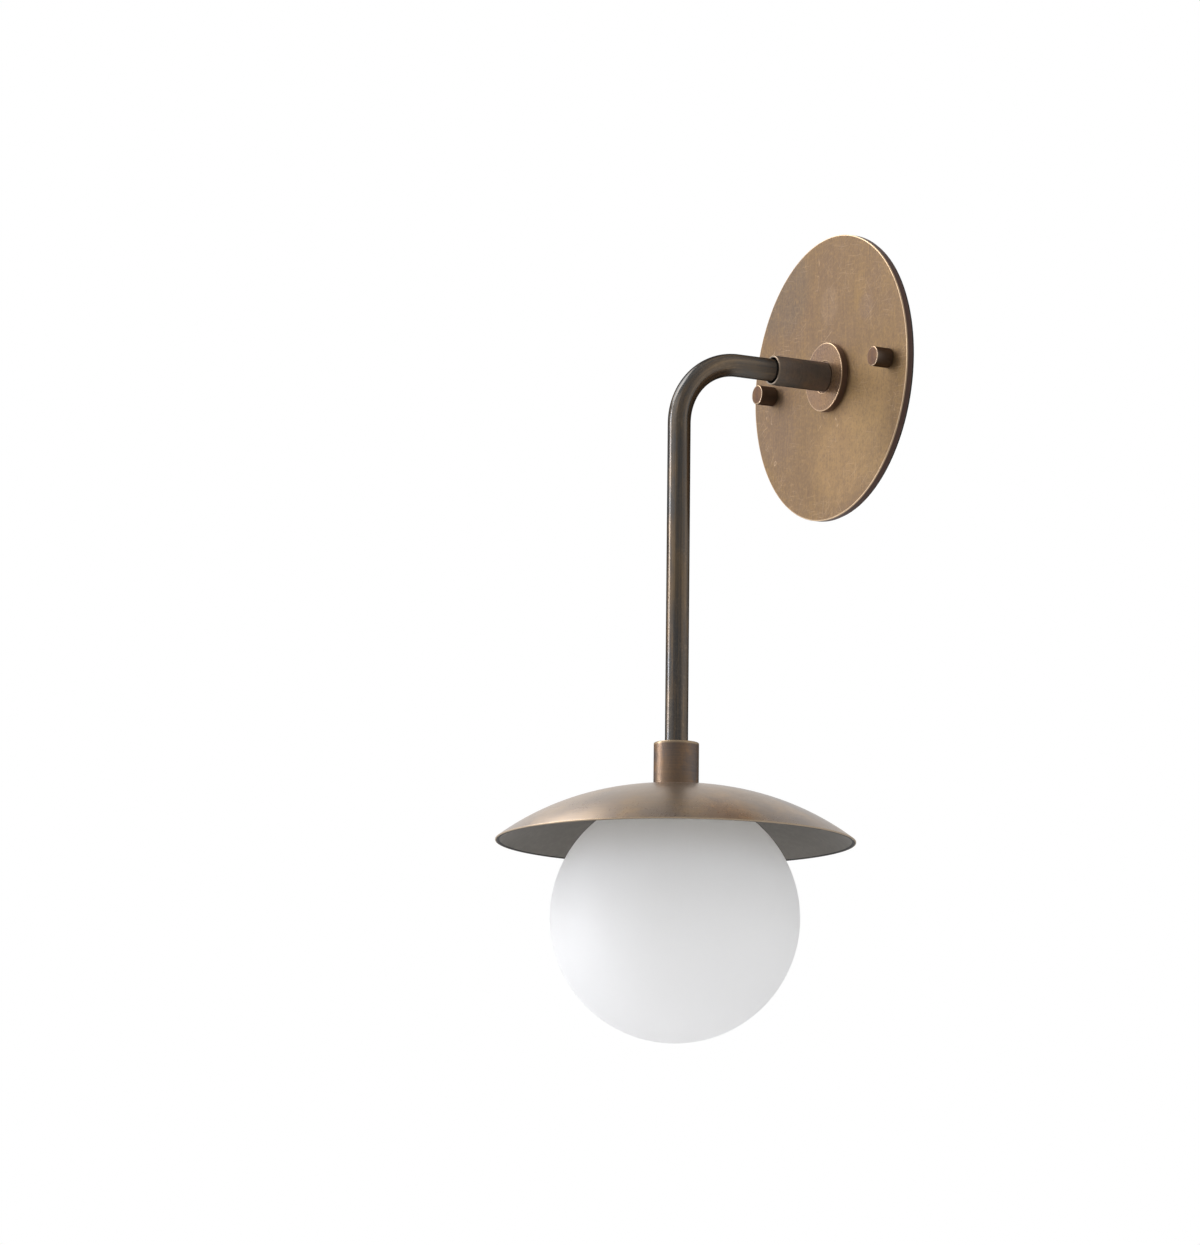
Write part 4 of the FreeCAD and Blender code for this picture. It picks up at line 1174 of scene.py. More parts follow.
@dataclass(frozen=True)
class Blank:
    """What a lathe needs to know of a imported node.

    Attributes:
        node: The node's name.
        radius: Its largest radius.
        long: Its length along its axis.
        axis: Its axis, from the end where height is 0.
    """

    node: str
    radius: float
    long: float
    axis: StraightAxis

    @classmethod
    def of(cls, node: str, along: Vector) -> "Blank":
        """The blank of a node whose axis runs through the middle of its box.

        Args:
            node: The node's name.
            along: The way that the axis runs.

        Returns:
            The blank, whose axis starts half of the node's length before the middle.
        """
        low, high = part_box(node)
        long = abs(along.dot(high - low))
        return cls(node, (high.x - low.x) / 2, long, StraightAxis((low + high - along * long) / 2, along))


class Side(Enum):
    """The two sides of the arm, as somebody who faces the wall sees them."""

    LEFT = "left"
    RIGHT = "right"


@dataclass
class Dresser:
    """Gives pieces their bodies and finishes, hides the nodes that they stand for, and counts them.

    Attributes:
        materials: Every finish by name.
        count: How many pieces it has made so far.
    """

    materials: dict[str, bpy.types.Material]
    count: int = 0

    def turn(self, name: str, outline: Outline, blank: Blank, segments: int, body: str, slot: str,
             finish: Optional[str] = None) -> None:
        """Turn a new piece, which stands for its blank's node.

        Args:
            name: The piece's name.
            outline: Its outline.
            blank: The node's blank.
            segments: Vertices in each ring.
            body: The body that it moves with.
            slot: The record's slot.
            finish: The finish, where it isn't the one with the slot's name.
        """
        piece = turned_piece(name, outline.trace(), blank.axis, segments)
        self.fit(piece, blank.node, body, slot, finish)

    def fit(self, piece: bpy.types.Object, node: str, body: str, slot: str,
            finish: Optional[str] = None) -> None:
        """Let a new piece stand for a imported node.

        Args:
            piece: The new piece.
            node: The node that it stands for.
            body: The body that it moves with.
            slot: The record's slot.
            finish: The finish, where it isn't the one with the slot's name.
        """
        piece.data.materials.append(self.materials[finish or slot])
        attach(piece, body)
        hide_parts(node)
        self.count += 1
        LOG.info("%s stands for %s, with %d faces", piece.name, node, len(piece.data.polygons))

    def keep(self, nodes: dict[str, bpy.types.Object], record: dict[str, Any]) -> None:
        """Give each node that keeps its shape the finish of the slot that the record names for it.

        Args:
            nodes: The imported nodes. Those that a piece stands for are hidden by now.
            record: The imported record.
        """
        slots = {row["node"]: row["material_slot"] for row in record["subparts"]}
        shown = [name for name, node in nodes.items() if not node.hide_render]
        for name in shown:
            for place in nodes[name].material_slots:
                place.material = self.materials[slots[name]]
            LOG.info("%s keeps its shape, in %s", name, slots[name])
        LOG.info("%d new pieces and %d packed nodes", self.count, len(shown))


# Sub-assemblies


@dataclass
class WallPlate:
    """The round plate on the wall, with the two barrel nuts that hold it.

    Attributes:
        edge_round: Rounding of the plate's front edge.
        back_round: Rounding of the back edges.
        plate_highlight_spread: Width over which the rubbed brightness of the plate's edge, wear with a
            painted highlight, fades.
        bore_radius: Radius of the hole for the arm's hollow thread.
        plate_segments: Vertices round the plate.
        nut_round: Rounding of a barrel nut's face.
        nut_highlight_spread: Width over which the rubbed brightness of a nut's edge, wear with a painted
            highlight, fades.
        nut_bore: Radius of a barrel nut's thread.
        nut_roof: Thickness of a barrel nut's closed end.
        nut_segments: Vertices round a nut.
    """

    edge_round: float = 0.35 * MM
    back_round: float = 0.2 * MM
    plate_highlight_spread: float = 0.16 * MM
    bore_radius: float = 5.05 * MM
    plate_segments: int = 320
    nut_round: float = 0.28 * MM
    nut_highlight_spread: float = 0.13 * MM
    nut_bore: float = 2.05 * MM
    nut_roof: float = 1.5 * MM
    nut_segments: int = 96

    def build(self, dresser: Dresser) -> None:
        """Build the plate and both nuts."""
        self.build_plate(dresser)
        for side in Side:
            self.build_nut(dresser, side)

    def build_plate(self, dresser: Dresser) -> None:
        """Turn the plate: a flat disc with a hole, whose rounded front edge is rubbed bright, wear with a
        painted highlight.
        """
        blank = Blank.of("backplate", OUT_OF_WALL)
        outline = Outline([
            Corner(self.bore_radius, blank.long, self.back_round, 0.4, rings=28),
            Corner(blank.radius, blank.long, self.edge_round, 1.0, rings=8, skin=1.0),
            Corner(blank.radius, 0.0, self.back_round, rings=10, skin=0.4),
            Corner(self.bore_radius, 0.0, self.back_round, rings=3, skin=1.0)], spread=self.plate_highlight_spread)
        dresser.turn("brass_backplate", outline, blank, self.plate_segments, "sconce", "plate_brass")

    def build_nut(self, dresser: Dresser, side: Side) -> None:
        """Turn one barrel nut, closed at its face and threaded from behind."""
        blank = Blank.of(f"barrel_nut_{side.value}", OUT_OF_WALL)
        roof = blank.long - self.nut_roof
        outline = Outline([
            Corner(0.0, blank.long, rings=10),
            Corner(blank.radius, blank.long, self.nut_round, 1.0, rings=10, skin=1.0),
            Corner(blank.radius, 0.0, self.back_round, 0.2, rings=4, skin=1.0),
            Corner(self.nut_bore, 0.0, self.back_round, rings=8, skin=1.0),
            Corner(self.nut_bore, roof, rings=2, skin=1.0),
            Corner(0.0, roof)], closed=False, spread=self.nut_highlight_spread)
        dresser.turn(f"barrel_{side.value}", outline, blank, self.nut_segments, f"{side.value}_nut",
                     "collar_brass", "nut_brass")


@dataclass
class Arm:
    """The disc and sleeve at the foot of the arm, and the bent tube.

    Attributes:
        disc_round: Rounding of the disc's front edge.
        disc_highlight_spread: Width over which the rubbed brightness of the disc's edge, wear with a
            painted highlight, fades.
        disc_segments: Vertices round the disc.
        highlight_ring_width: Width of the bright ring round the sleeve's root, a painted highlight.
        root_round: Roundings of that ring's inner and outer edge.
        back_round: Rounding of the disc's and the sleeve's back edges.
        mouth_round: Rounding of the sleeve's mouth.
        mouth_inner_round: Rounding of the socket's edge.
        mouth_depth: Depth of the socket that the tube sits in.
        mouth_radius: Radius of that socket.
        mouth_floor_round: Rounding of the socket's floor.
        sleeve_segments: Vertices round the sleeve.
        bore_radius: Radius of the thread in the disc and the sleeve.
        tube_radius: Outside radius of the tube.
        tube_bore: Inside radius of the tube.
        tube_round: Rounding of the tube's ends.
        tube_segments: Vertices round the tube.
        bend_radius: Radius of the bend.
        squash: How far the bend flattens the tube, as a share of its radius.
    """

    disc_round: float = 0.3 * MM
    disc_highlight_spread: float = 0.18 * MM
    disc_segments: int = 192
    highlight_ring_width: float = 0.7 * MM
    root_round: tuple[float, float] = (0.1 * MM, 0.12 * MM)
    back_round: float = 0.15 * MM
    mouth_round: float = 0.28 * MM
    mouth_inner_round: float = 0.2 * MM
    mouth_depth: float = 9.5 * MM
    mouth_radius: float = 5.65 * MM
    mouth_floor_round: float = 0.1 * MM
    sleeve_segments: int = 128
    bore_radius: float = 5.05 * MM
    tube_radius: float = 5.0 * MM
    tube_bore: float = 4.0 * MM
    tube_round: float = 0.2 * MM
    tube_segments: int = 96
    bend_radius: float = 29.0 * MM
    squash: float = 0.02

    def build(self, dresser: Dresser) -> None:
        """Build the disc, the sleeve and the tube."""
        self.build_disc(dresser)
        self.build_sleeve(dresser)
        self.build_tube(dresser)

    def build_disc(self, dresser: Dresser) -> None:
        """Turn the disc, with a small bright chamfer round the sleeve's root, a painted highlight."""
        blank = Blank.of("rosette_disc", OUT_OF_WALL)
        root = Blank.of("arm_sleeve", OUT_OF_WALL).radius + self.highlight_ring_width
        step = self.highlight_ring_width / 2
        inner_round, outer_round = self.root_round
        outline = Outline([
            Corner(self.bore_radius, blank.long - step, rings=4, skin=0.6),
            # The bright ring round the sleeve's root is a painted highlight
            Corner(root - step, blank.long - step, inner_round, 0.3, rings=3),
            Corner(root, blank.long, outer_round, 0.9, rings=12),
            Corner(blank.radius, blank.long, self.disc_round, 1.0, rings=8, skin=1.0),
            Corner(blank.radius, 0.0, self.back_round, rings=6, skin=1.0),
            Corner(self.bore_radius, 0.0, rings=4, skin=1.0)], spread=self.disc_highlight_spread)
        dresser.turn("foot_disc", outline, blank, self.disc_segments, "sconce", "plate_brass",
                     "disc_brass")

    def build_sleeve(self, dresser: Dresser) -> None:
        """Turn the sleeve, with its socket for the tube."""
        blank = Blank.of("arm_sleeve", OUT_OF_WALL)
        floor = blank.long - self.mouth_depth
        outline = Outline([
            Corner(blank.radius, 0.0, self.back_round, 0.5, rings=40),
            Corner(blank.radius, blank.long, self.mouth_round, 0.75, rings=3),
            Corner(self.mouth_radius, blank.long, self.mouth_inner_round, 0.35, rings=16, skin=1.0),
            Corner(self.mouth_radius, floor, self.mouth_floor_round, rings=3, skin=1.0),
            Corner(self.bore_radius, floor, rings=8, skin=1.0),
            Corner(self.bore_radius, 0.0, rings=3, skin=1.0)])
        dresser.turn("foot_sleeve", outline, blank, self.sleeve_segments, "sconce", "arm_brass",
                     "sleeve_brass")

    def build_tube(self, dresser: Dresser) -> None:
        """Sweep the tube along the arm's line, a little flattened on the bend."""
        low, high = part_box("arm_tube")
        reach = -low.y - self.tube_radius
        axis = ArmAxis(-high.y, reach, self.bend_radius, -low.z)
        long = axis.length()
        outline = Outline([
            Corner(self.tube_radius, 0.0, self.tube_round, 0.3, rings=220),
            Corner(self.tube_radius, long, self.tube_round, 0.3, rings=2, skin=1.0),
            Corner(self.tube_bore, long, self.tube_round, rings=160, skin=1.0),
            Corner(self.tube_bore, 0.0, self.tube_round, rings=2, skin=1.0)])
        level = reach - self.bend_radius - axis.start
        bend_length = math.pi / 2 * self.bend_radius

        def flatten(angles: np.ndarray, heights: np.ndarray) -> np.ndarray:
            """Take squash times the radius off the outside of the bend, and half of it off the inside.

            The amount rises and falls as sin squared of the way along the bend, and goes round the
            tube with the sine of the angle, which is 1 on the outside of the bend.

            Args:
                angles: Angles round the tube.
                heights: Distances along it.

            Returns:
                The change of radius.
            """
            way = np.clip((heights - level) / bend_length, 0, 1)
            amount = self.squash * self.tube_radius * np.sin(math.pi * way) ** 2
            outside = np.sin(angles)
            return -amount * np.where(outside > 0, outside ** 2, outside ** 2 / 2)

        piece = turned_piece("bent_tube", outline.trace(), axis, self.tube_segments, flatten)
        dresser.fit(piece, "arm_tube", "sconce", "arm_brass")


@dataclass
class Shade:
    """The collar and the spun dome under it.

    Attributes:
        collar_round: Rounding of the collar's upper edge.
        bore_round: Rounding of the bore's edges in the collar.
        foot_round: Rounding of the collar's lower edge.
        collar_highlight_spread: Width over which the rubbed brightness of the collar's edge, wear with a
            painted highlight, fades.
        collar_segments: Vertices round the collar.
        bore_radius: Radius of the thread through collar and dome.
        sheet: Thickness of the dome's sheet.
        crown: Radius of the dome's curve.
        flat: Radius of the flat that the collar stands on.
        flat_round: Rounding between that flat and the curve, outside and inside.
        lip_round: Rounding of the dome's cut edge.
        lip_highlight_spread: Width over which the rubbed brightness of that edge, wear with a painted
            highlight, fades.
        shadow_line_width: Width of the dark line painted as shadow just inside the cut edge.
        dome_segments: Vertices round the dome.
    """

    collar_round: float = 0.5 * MM
    bore_round: float = 0.15 * MM
    foot_round: float = 0.1 * MM
    collar_highlight_spread: float = 0.7 * MM
    collar_segments: int = 160
    bore_radius: float = 5.05 * MM
    sheet: float = 1.2 * MM
    crown: float = 118.0 * MM
    flat: float = 10.5 * MM
    flat_round: tuple[float, float] = (3.0 * MM, 2.0 * MM)
    lip_round: float = 0.35 * MM
    lip_highlight_spread: float = 0.22 * MM
    shadow_line_width: float = 0.6 * MM
    dome_segments: int = 320

    def build(self, dresser: Dresser) -> None:
        """Build the collar and the dome."""
        self.build_collar(dresser)
        self.build_dome(dresser)

    def build_collar(self, dresser: Dresser) -> None:
        """Turn the collar."""
        blank = Blank.of("shade_collar", UPWARDS)
        outline = Outline([
            Corner(blank.radius, 0.0, self.foot_round, rings=30),
            Corner(blank.radius, blank.long, self.collar_round, 0.9, rings=8),
            Corner(self.bore_radius, blank.long, self.bore_round, 0.5, rings=20, skin=1.0),
            Corner(self.bore_radius, 0.0, self.bore_round, rings=6, skin=1.0)], spread=self.collar_highlight_spread)
        dresser.turn("shade_cup", outline, blank, self.collar_segments, "sconce", "collar_brass")

    def build_dome(self, dresser: Dresser) -> None:
        """Turn the dome: two arcs about one centre, a sheet's thickness apart, and a flat crown."""
        blank = Blank.of("dome_shade", UPWARDS)
        radius, high = blank.radius, blank.long
        centre = Stretch(np.array([radius, 0.0]), np.array([self.flat, high]), -self.crown).centre()
        inner = self.crown - self.sheet
        under = high - self.sheet
        rim = centre[0] + math.sqrt(inner ** 2 - centre[1] ** 2)
        shoulder = centre[0] + math.sqrt(inner ** 2 - (under - centre[1]) ** 2)
        turn = math.atan2(-centre[1], rim - centre[0]) + self.shadow_line_width / inner
        lip = centre + inner * np.array([math.cos(turn), math.sin(turn)])
        outer_round, inner_round = self.flat_round
        outline = Outline([
            Corner(radius, 0.0, self.lip_round, 0.8, bow=-self.crown, rings=90),
            Corner(self.flat, high, outer_round, rings=6),
            Corner(self.bore_radius, high, rings=3, skin=1.0),
            Corner(self.bore_radius, under, rings=6, skin=1.0),
            Corner(shoulder, under, inner_round, bow=inner, rings=80, skin=1.0),
            # The band inside the cut edge is painted dark as shadow
            Corner(*lip, bow=inner, rings=4, skin=2.0),
            Corner(rim, 0.0, self.lip_round, rings=3, skin=2.0)], spread=self.lip_highlight_spread)
        dresser.turn("spun_dome", outline, blank, self.dome_segments, "sconce", "dome_brass")


@dataclass
class Globe:
    """The frosted ball, whose neck screws on to the holder.

    Attributes:
        wall: Thickness of the glass.
        lip_wall: Thickness of the neck.
        lip_round: Rounding of the neck's upper edge.
        throat_round: Rounding where the neck meets the ball outside.
        bore_round: Rounding where it does inside.
        segments: Vertices round the ball.
    """

    wall: float = 2.8 * MM
    lip_wall: float = 3.0 * MM
    lip_round: float = 0.8 * MM
    throat_round: float = 2.5 * MM
    bore_round: float = 0.5 * MM
    segments: int = 256

    def build(self, dresser: Dresser) -> None:
        """Turn the ball, its neck and its hollow."""
        blank = Blank.of("opal_globe", UPWARDS)
        radius, high = blank.radius, blank.long
        neck = Blank.of("globe_washer", UPWARDS).radius
        bore = neck - self.lip_wall
        inner = radius - self.wall
        neck_foot = radius + math.sqrt(radius ** 2 - neck ** 2)
        bore_foot = radius + math.sqrt(inner ** 2 - bore ** 2)
        outline = Outline([
            Corner(0.0, 0.0, bow=-radius, rings=150),
            Corner(neck, neck_foot, self.throat_round, rings=4),
            Corner(neck, high, self.lip_round, rings=4),
            Corner(bore, high, self.lip_round, rings=8, skin=1.0),
            Corner(bore, bore_foot, self.bore_round, bow=inner, rings=90, skin=1.0),
            Corner(0.0, self.wall)], closed=False)
        dresser.turn("frosted_ball", outline, blank, self.segments, "globe", "opal_glass")


def finishes() -> dict[str, bpy.types.Material]:
    """Every finish as a material, by name. Pieces of one slot may differ in finish.

    Returns:
        The materials.
    """
    dull = (0.08, 0.09, 0.10)
    smoke = Bloom(-40.0 * MM, 46.0 * MM, 26.0 * MM, (0.142, 0.100, 0.068), 0.85)
    touch = Bloom(-0.6 * MM, 33.0 * MM, 9.0 * MM, (0.228, 0.150, 0.090), 0.6)
    thumb = Bloom(29.0 * MM, 27.0 * MM, 8.0 * MM, (0.175, 0.116, 0.082), 0.5)
    warmth = Bloom(8.0 * MM, -38.0 * MM, 26.0 * MM, (0.272, 0.170, 0.078), 0.75)
    haze = Bloom(-48.0 * MM, -14.0 * MM, 24.0 * MM, (0.172, 0.112, 0.072), 0.6)
    # Painted light: a brighter golden patch on the plate right of the arm, lifting the arm's shadow and
    # dark reflection there
    painted_light_right = Bloom(33.0 * MM, -12.0 * MM, 25.0 * MM, (0.300, 0.190, 0.084), 0.8)
    honey = Bloom(34.0 * MM, -34.0 * MM, 20.0 * MM, (0.262, 0.166, 0.072), 0.6)
    made = [
        AgedBrass("plate_brass", body=(0.186, 0.116, 0.059), gold=(0.232, 0.142, 0.056),
                  dusk=(0.163, 0.102, 0.061), edge=(0.66, 0.48, 0.31), shade=(0.115, 0.072, 0.060),
                  grain=Grain.BRUSHED, rough=0.47, clouds=20.0, scratches=0.20, curls=0.30, streaks=0.32,
                  specks=0.36, rub_and_highlight=0.8, metal=0.85,
                  blooms=(smoke, touch, thumb, warmth, haze, painted_light_right, honey)),
        AgedBrass("disc_brass", body=(0.258, 0.156, 0.090), gold=(0.300, 0.174, 0.084),
                  dusk=(0.222, 0.138, 0.096), edge=(0.70, 0.49, 0.31), shade=(0.270, 0.185, 0.145),
                  grain=Grain.BRUSHED, rough=0.28, clouds=60.0, scratches=0.15, streaks=0.20,
                  specks=0.30, rub_and_highlight=0.75, metal=0.80),
        AgedBrass("nut_brass", body=(0.215, 0.137, 0.098), gold=(0.250, 0.155, 0.092),
                  dusk=(0.170, 0.112, 0.090), edge=(0.62, 0.46, 0.32), shade=(0.200, 0.152, 0.122),
                  grain=Grain.TURNED, rough=0.34, shade_rough=0.36, clouds=120.0, scratches=0.10,
                  streaks=0.20, specks=0.15, rub_and_highlight=0.85, glance=dull),
        # Near-black shade in the tube's bore and at its ends: painted shade
        AgedBrass("arm_brass", body=(0.164, 0.130, 0.100), gold=(0.245, 0.172, 0.104),
                  dusk=(0.108, 0.109, 0.110), edge=(0.50, 0.39, 0.28), shade=(0.016, 0.013, 0.011),
                  grain=Grain.DRAWN, rough=0.22, clouds=75.0, scratches=0.20, streaks=0.55, specks=0.05,
                  mottling=0.10, rub_and_highlight=0.7, metal=0.90, glance=dull),
        # Near-black shade in the sleeve's socket and bore: painted shade
        AgedBrass("sleeve_brass", body=(0.262, 0.218, 0.188), gold=(0.325, 0.242, 0.180),
                  dusk=(0.190, 0.182, 0.176), edge=(0.50, 0.38, 0.26), shade=(0.016, 0.012, 0.010),
                  grain=Grain.TURNED, rough=0.38, clouds=70.0, scratches=0.25, streaks=0.20, specks=0.15,
                  rub_and_highlight=0.45, metal=0.90, glance=dull),
        AgedBrass("collar_brass", body=(0.232, 0.160, 0.110), gold=(0.330, 0.200, 0.110),
                  dusk=(0.158, 0.136, 0.130), edge=(0.62, 0.47, 0.30), shade=(0.125, 0.080, 0.054),
                  grain=Grain.TURNED, rough=0.38, clouds=80.0, scratches=0.10, streaks=0.12, specks=0.05,
                  mottling=0.12, rub_and_highlight=0.55, metal=0.80, glance=dull),
        AgedBrass("dome_brass", body=(0.330, 0.250, 0.184), gold=(0.415, 0.284, 0.168),
                  dusk=(0.243, 0.193, 0.160), edge=(0.52, 0.39, 0.26), shade=(0.138, 0.126, 0.110),
                  grain=Grain.TURNED, rough=0.31, shade_rough=0.62, clouds=32.0, scratches=0.02,
                  streaks=0.16, specks=0.04, mottling=0.10, rub_and_highlight=0.6, shade_metal=0.25),
        OpalGlass(),
        PlatedMetal("zinc_steel", (0.60, 0.60, 0.58), (0.42, 0.43, 0.43), 0.34),
        PlatedMetal("contact_nickel", (0.66, 0.62, 0.55), (0.48, 0.45, 0.40), 0.24, 0.4),
        PlatedMetal("plain_brass", (0.72, 0.50, 0.20), (0.50, 0.33, 0.14), 0.27, 0.5),
        Moulding("black_foam", (0.014, 0.014, 0.014), (0.035, 0.035, 0.034), 0.9, 1500.0, 0.05 * MM),
        Moulding("clear_silicone", (0.62, 0.62, 0.60), (0.70, 0.70, 0.68), 0.35, 900.0, 0.003 * MM, 0.4),
        Moulding("black_nylon", (0.020, 0.020, 0.021), (0.034, 0.034, 0.035), 0.42, 2400.0),
        Moulding("white_nylon", (0.78, 0.77, 0.73), (0.70, 0.69, 0.65), 0.45, 2000.0, soft=0.2),
        Moulding("lampholder_ceramic", (0.82, 0.80, 0.74), (0.68, 0.66, 0.60), 0.66, 2600.0, 0.02 * MM),
        Moulding("lamp_white", (0.84, 0.84, 0.81), (0.78, 0.78, 0.75), 0.34, 1500.0, soft=0.1),
        Moulding("lamp_frost", (0.88, 0.88, 0.85), (0.84, 0.84, 0.80), 0.55, 3000.0, soft=0.4),
        Moulding("board_white", (0.72, 0.75, 0.72), (0.60, 0.64, 0.60), 0.30, 1200.0),
        Moulding("brown_sleeving", (0.115, 0.045, 0.020), (0.090, 0.035, 0.016), 0.40, 2000.0),
        Moulding("blue_sleeving", (0.020, 0.085, 0.330), (0.016, 0.070, 0.270), 0.40, 2000.0),
        StripedSleeving("green_yellow_sleeving", (0.050, 0.260, 0.040), (0.720, 0.560, 0.020),
                        0.32 * MM),
    ]
    return {finish.name: finish.material() for finish in made}


# Studio

# Daylight from a clear sky, and from a bright pale room
COOL: Colour = (0.895, 0.92, 1.0)
SOFT: Colour = (1.0, 0.985, 0.965)


@dataclass(frozen=True)
class Portrait:
    """The camera, as it stood for the photograph.

    Attributes:
        place: Where it stands.
        yaw: Degrees by which it is turned from +Y towards -X.
        pitch: Degrees by which it looks up.
        roll: Degrees by which it leans.
        focus: Focal length in pixels of the picture.
        picture_height: Height of the picture in pixels, its longer side.
        sensor: Width of the sensor, which spans the longer side, in millimetres.
        near: Distance at which it starts to see.
        far: Distance at which it stops.
    """

    place: Vector = Vector((2.107348, -1.307654, -0.529574))
    yaw: float = 60.567
    pitch: float = 9.606
    roll: float = 0.626
    focus: float = 5738.55
    picture_height: float = 1245.0
    sensor: float = 36.0
    near: float = 0.05
    far: float = 60.0

    def build(self) -> None:
        """Make the camera and hand it to the scene."""
        yaw, pitch, roll = (math.radians(angle) for angle in (self.yaw, self.pitch, self.roll))
        ahead = Vector((-math.sin(yaw) * math.cos(pitch), math.cos(yaw) * math.cos(pitch),
                        math.sin(pitch)))
        level = Vector((math.cos(yaw), math.sin(yaw), 0))
        right = level * math.cos(roll) + level.cross(ahead) * math.sin(roll)
        up = right.cross(ahead)
        data = bpy.data.cameras.new("portrait")
        data.sensor_width = self.sensor
        data.lens = self.focus * self.sensor / self.picture_height
        data.clip_start = self.near
        data.clip_end = self.far
        camera = bpy.data.objects.new("portrait", data)
        columns = Matrix((right, up, -ahead)).transposed()
        camera.matrix_world = Matrix.Translation(self.place) @ columns.to_4x4()
        bpy.context.scene.collection.objects.link(camera)
        bpy.context.scene.camera = camera


@dataclass(frozen=True)
class Lamp:
    """A soft rectangular light.

    Attributes:
        name: Its name.
        towards: Direction from the sconce to the light.
        distance: Distance from the sconce.
        width: Its width.
        height: Its height.
        watts: Its power.
        tint: Its colour.
    """

    name: str
    towards: Vector
    distance: float
    width: float
    height: float
    watts: float
    tint: Colour = WHITE

    def build(self, target: Vector) -> None:
        """Make the light, facing the target."""
        data = bpy.data.lights.new(self.name, "AREA")
        data.shape = "RECTANGLE"
        data.size = self.width
        data.size_y = self.height
        data.energy = self.watts
        data.color = self.tint
        light = bpy.data.objects.new(self.name, data)
        way = self.towards.normalized()
        turn = way.to_track_quat("Z", "Y").to_matrix().to_4x4()
        light.matrix_world = Matrix.Translation(target + way * self.distance) @ turn
        bpy.context.scene.collection.objects.link(light)


@dataclass(frozen=True)
class Dimness:
    """A side of the room that reflections show dimmer than white.

    Attributes:
        towards: Its direction, as a unit vector.
        start: Cosine of the angle off that direction at which the room starts to dim.
        full: Cosine of the angle at which it is dimmest.
        share: How much dimmer it is there.
    """

    towards: Way
    start: float
    full: float
    share: float


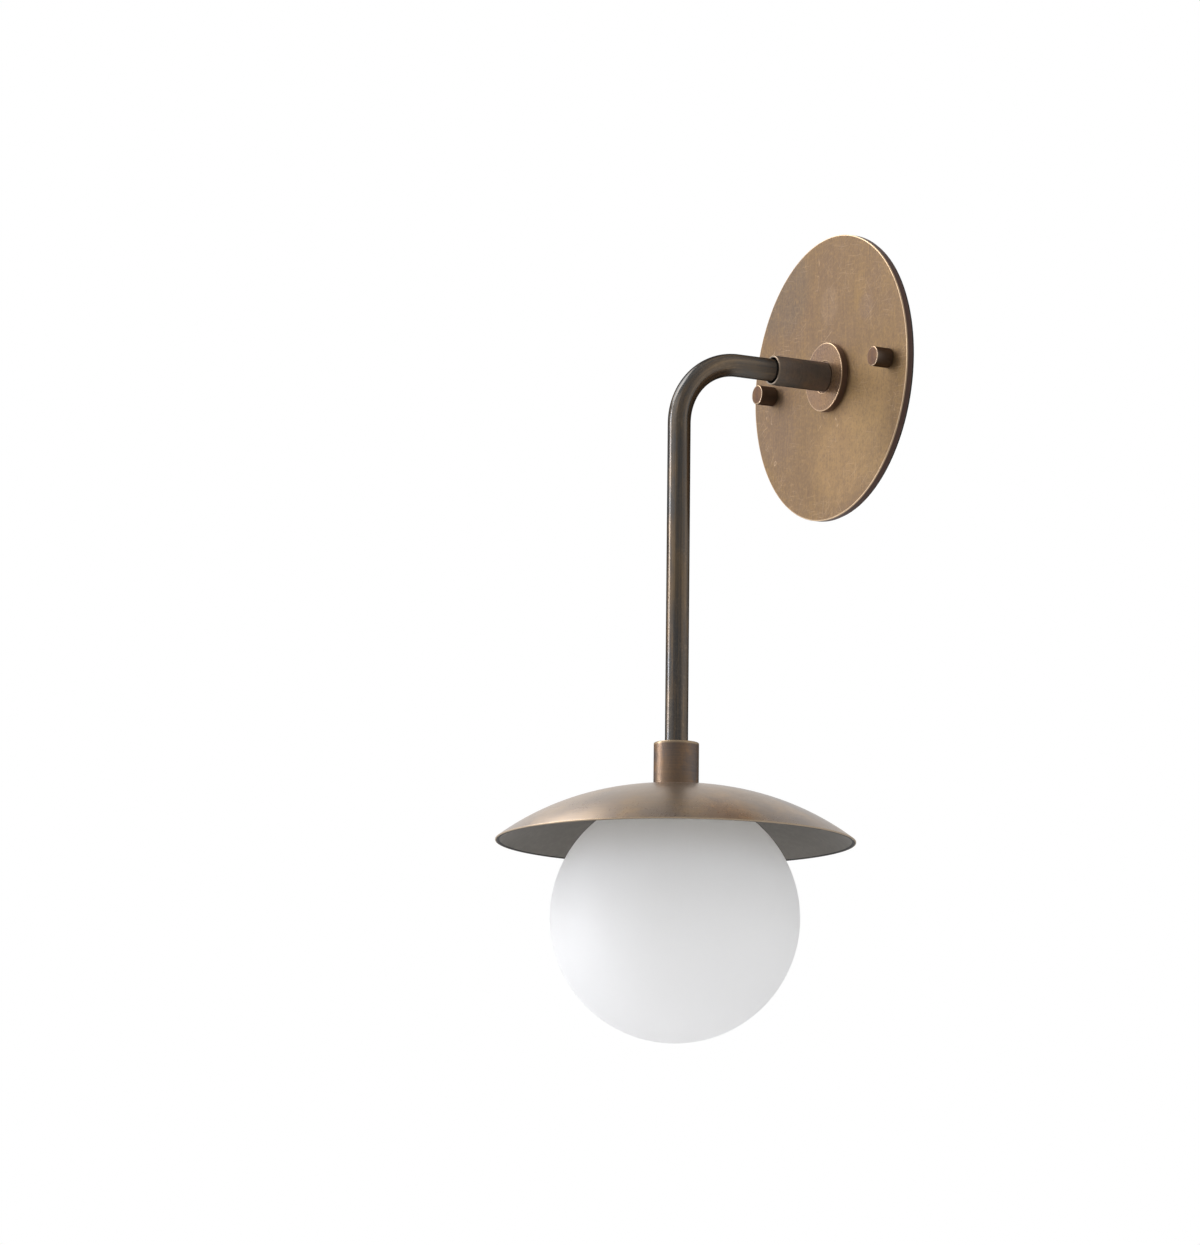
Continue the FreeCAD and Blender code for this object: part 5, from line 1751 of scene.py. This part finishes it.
@dataclass(frozen=True)
class Studio:
    """A white room with windows to one side, and a pale floor far below.

    Attributes:
        target: The point that the lamps face. The floor lies round its foot.
        lamps: The lamps.
        air: Strength of the light from all round on matt surfaces.
        dims: The room's dimmer sides: the one where the camera stands, the ceiling, the sconce's
            own wall and the floor.
        floor_level: Height of the floor.
        floor_radius: Radius of the floor.
        floor_thickness: Its thickness.
        fade_start: Distance out at which it starts to fade to white.
        fade_end_share: Share of its radius at which it is white.
        floor_colour: Its colour.
        floor_cloud: A slightly darker tone of it, as a factor on the colour.
        floor_cloud_share: Strength of that tone.
        floor_clouds: Patches of it in a metre.
        floor_segments: Vertices round the floor.
    """

    target: Vector = Vector((0.0, -0.06, -0.14))
    lamps: tuple[Lamp, ...] = (
        Lamp("window", Vector((-0.585, -0.810, 0.03)), 2.2, 0.42, 2.0, 21.4, COOL),
        Lamp("high_window", Vector((-0.540, -0.410, 0.735)), 2.2, 1.3, 1.3, 27.0, SOFT),
        Lamp("skylight", Vector((0.150, -0.860, 0.48)), 2.5, 1.5, 1.6, 4.0),
        Lamp("glow", Vector((-0.690, -0.03, 0.72)), 2.5, 0.6, 0.6, 3.2, SOFT))
    air: float = 0.84
    dims: tuple[Dimness, ...] = (Dimness((0.85, -0.53, 0.0), 0.00, 0.95, 0.70),
                                 Dimness((0.0, 0.0, 1.0), 0.50, 0.97, 0.45),
                                 Dimness((0.0, 1.0, 0.0), 0.30, 0.95, 0.30),
                                 Dimness((0.0, 0.0, -1.0), 0.00, 0.80, 0.32))
    floor_level: float = -1.45
    floor_radius: float = 7.0
    floor_thickness: float = 0.02
    fade_start: float = 1.2
    fade_end_share: float = 0.75
    floor_colour: Colour = (0.86, 0.86, 0.86)
    floor_cloud: float = 0.97
    floor_cloud_share: float = 0.3
    floor_clouds: float = 40.0
    floor_segments: int = 128

    def build(self) -> None:
        """Set the world, the lights, the floor and the view transform."""
        for lamp in self.lamps:
            lamp.build(self.target)
        self.build_world()
        self.build_floor()
        bpy.context.scene.view_settings.view_transform = "Standard"

    def build_world(self) -> None:
        """White for what the camera, gloss and glass see, and the air's strength for all else."""
        world = bpy.data.worlds.new("studio_air")
        world.use_nodes = True
        bpy.context.scene.world = world
        sheet = ShaderSheet(world.node_tree)
        seen, glossy = sheet.looked_at()
        way = sheet.node("ShaderNodeTexCoord", output="Generated")
        levels = (self.air, self.shown(sheet, way, glossy))
        air, white = (sheet.node("ShaderNodeBackground", None, {"Color": paint(WHITE), "Strength": level})
                      for level in levels)
        sheet.finish(sheet.blended(seen, air, white), "World")

    def shown(self, sheet: ShaderSheet, way: Signal, glossy: Signal) -> Number:
        """How bright the room is in a direction, which is less than white for gloss alone.

        Args:
            sheet: The sheet of the world or the floor.
            way: The direction, as a unit vector.
            glossy: 1 where gloss sees it.

        Returns:
            The strength of the white.
        """
        shown: Number = 1.0
        for dim in self.dims:
            dimmed = sheet.along(way, dim.towards).above(dim.start, dim.full) * dim.share
            shown = shown * (1.0 - dimmed * glossy)
        return shown

    def build_floor(self) -> None:
        """A round floor whose far part fades to the white of the background."""
        radius, under = self.floor_radius, -self.floor_thickness
        outline = Outline([Corner(0.0, 0.0, rings=24), Corner(radius, 0.0, rings=2),
                           Corner(radius, under, rings=6), Corner(0.0, under)], closed=False)
        origin = Vector((self.target.x, self.target.y, self.floor_level))
        axis = StraightAxis(origin, UPWARDS)
        floor = turned_piece("studio_floor", outline.trace(), axis, self.floor_segments)
        material, sheet = new_material("studio_floor")
        place = sheet.place()
        across, along, _ = sheet.parts(place)
        far = sheet.off_axis(across, along).above(self.fade_start, radius * self.fade_end_share)
        seen, glossy = sheet.looked_at()
        way = sheet.node("ShaderNodeVectorMath", {"operation": "NORMALIZE"}, {0: place})
        cloud = sheet.noise(place, self.floor_clouds, 3.0, 0.5) * self.floor_cloud_share
        colour = sheet.mixed(cloud, self.floor_colour, toned(self.floor_colour, self.floor_cloud))
        matt = sheet.node("ShaderNodeBsdfDiffuse", None, {"Color": colour})
        white = sheet.node("ShaderNodeEmission", None, {"Strength": self.shown(sheet, way, glossy)})
        sheet.finish(sheet.blended(sheet.maths("MAXIMUM", far * seen, glossy), matt, white))
        floor.data.materials.append(material)


def main() -> None:
    """Load the frame, build and dress every piece, and set up the studio."""
    logging.basicConfig(level=logging.INFO, format="%(message)s")
    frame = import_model()
    dresser = Dresser(finishes())
    for assembly in (WallPlate(), Arm(), Shade(), Globe()):
        assembly.build(dresser)
    dresser.keep(frame["nodes"], frame["record"])
    Studio().build()
    Portrait().build()


if __name__ == "__main__":
    main()
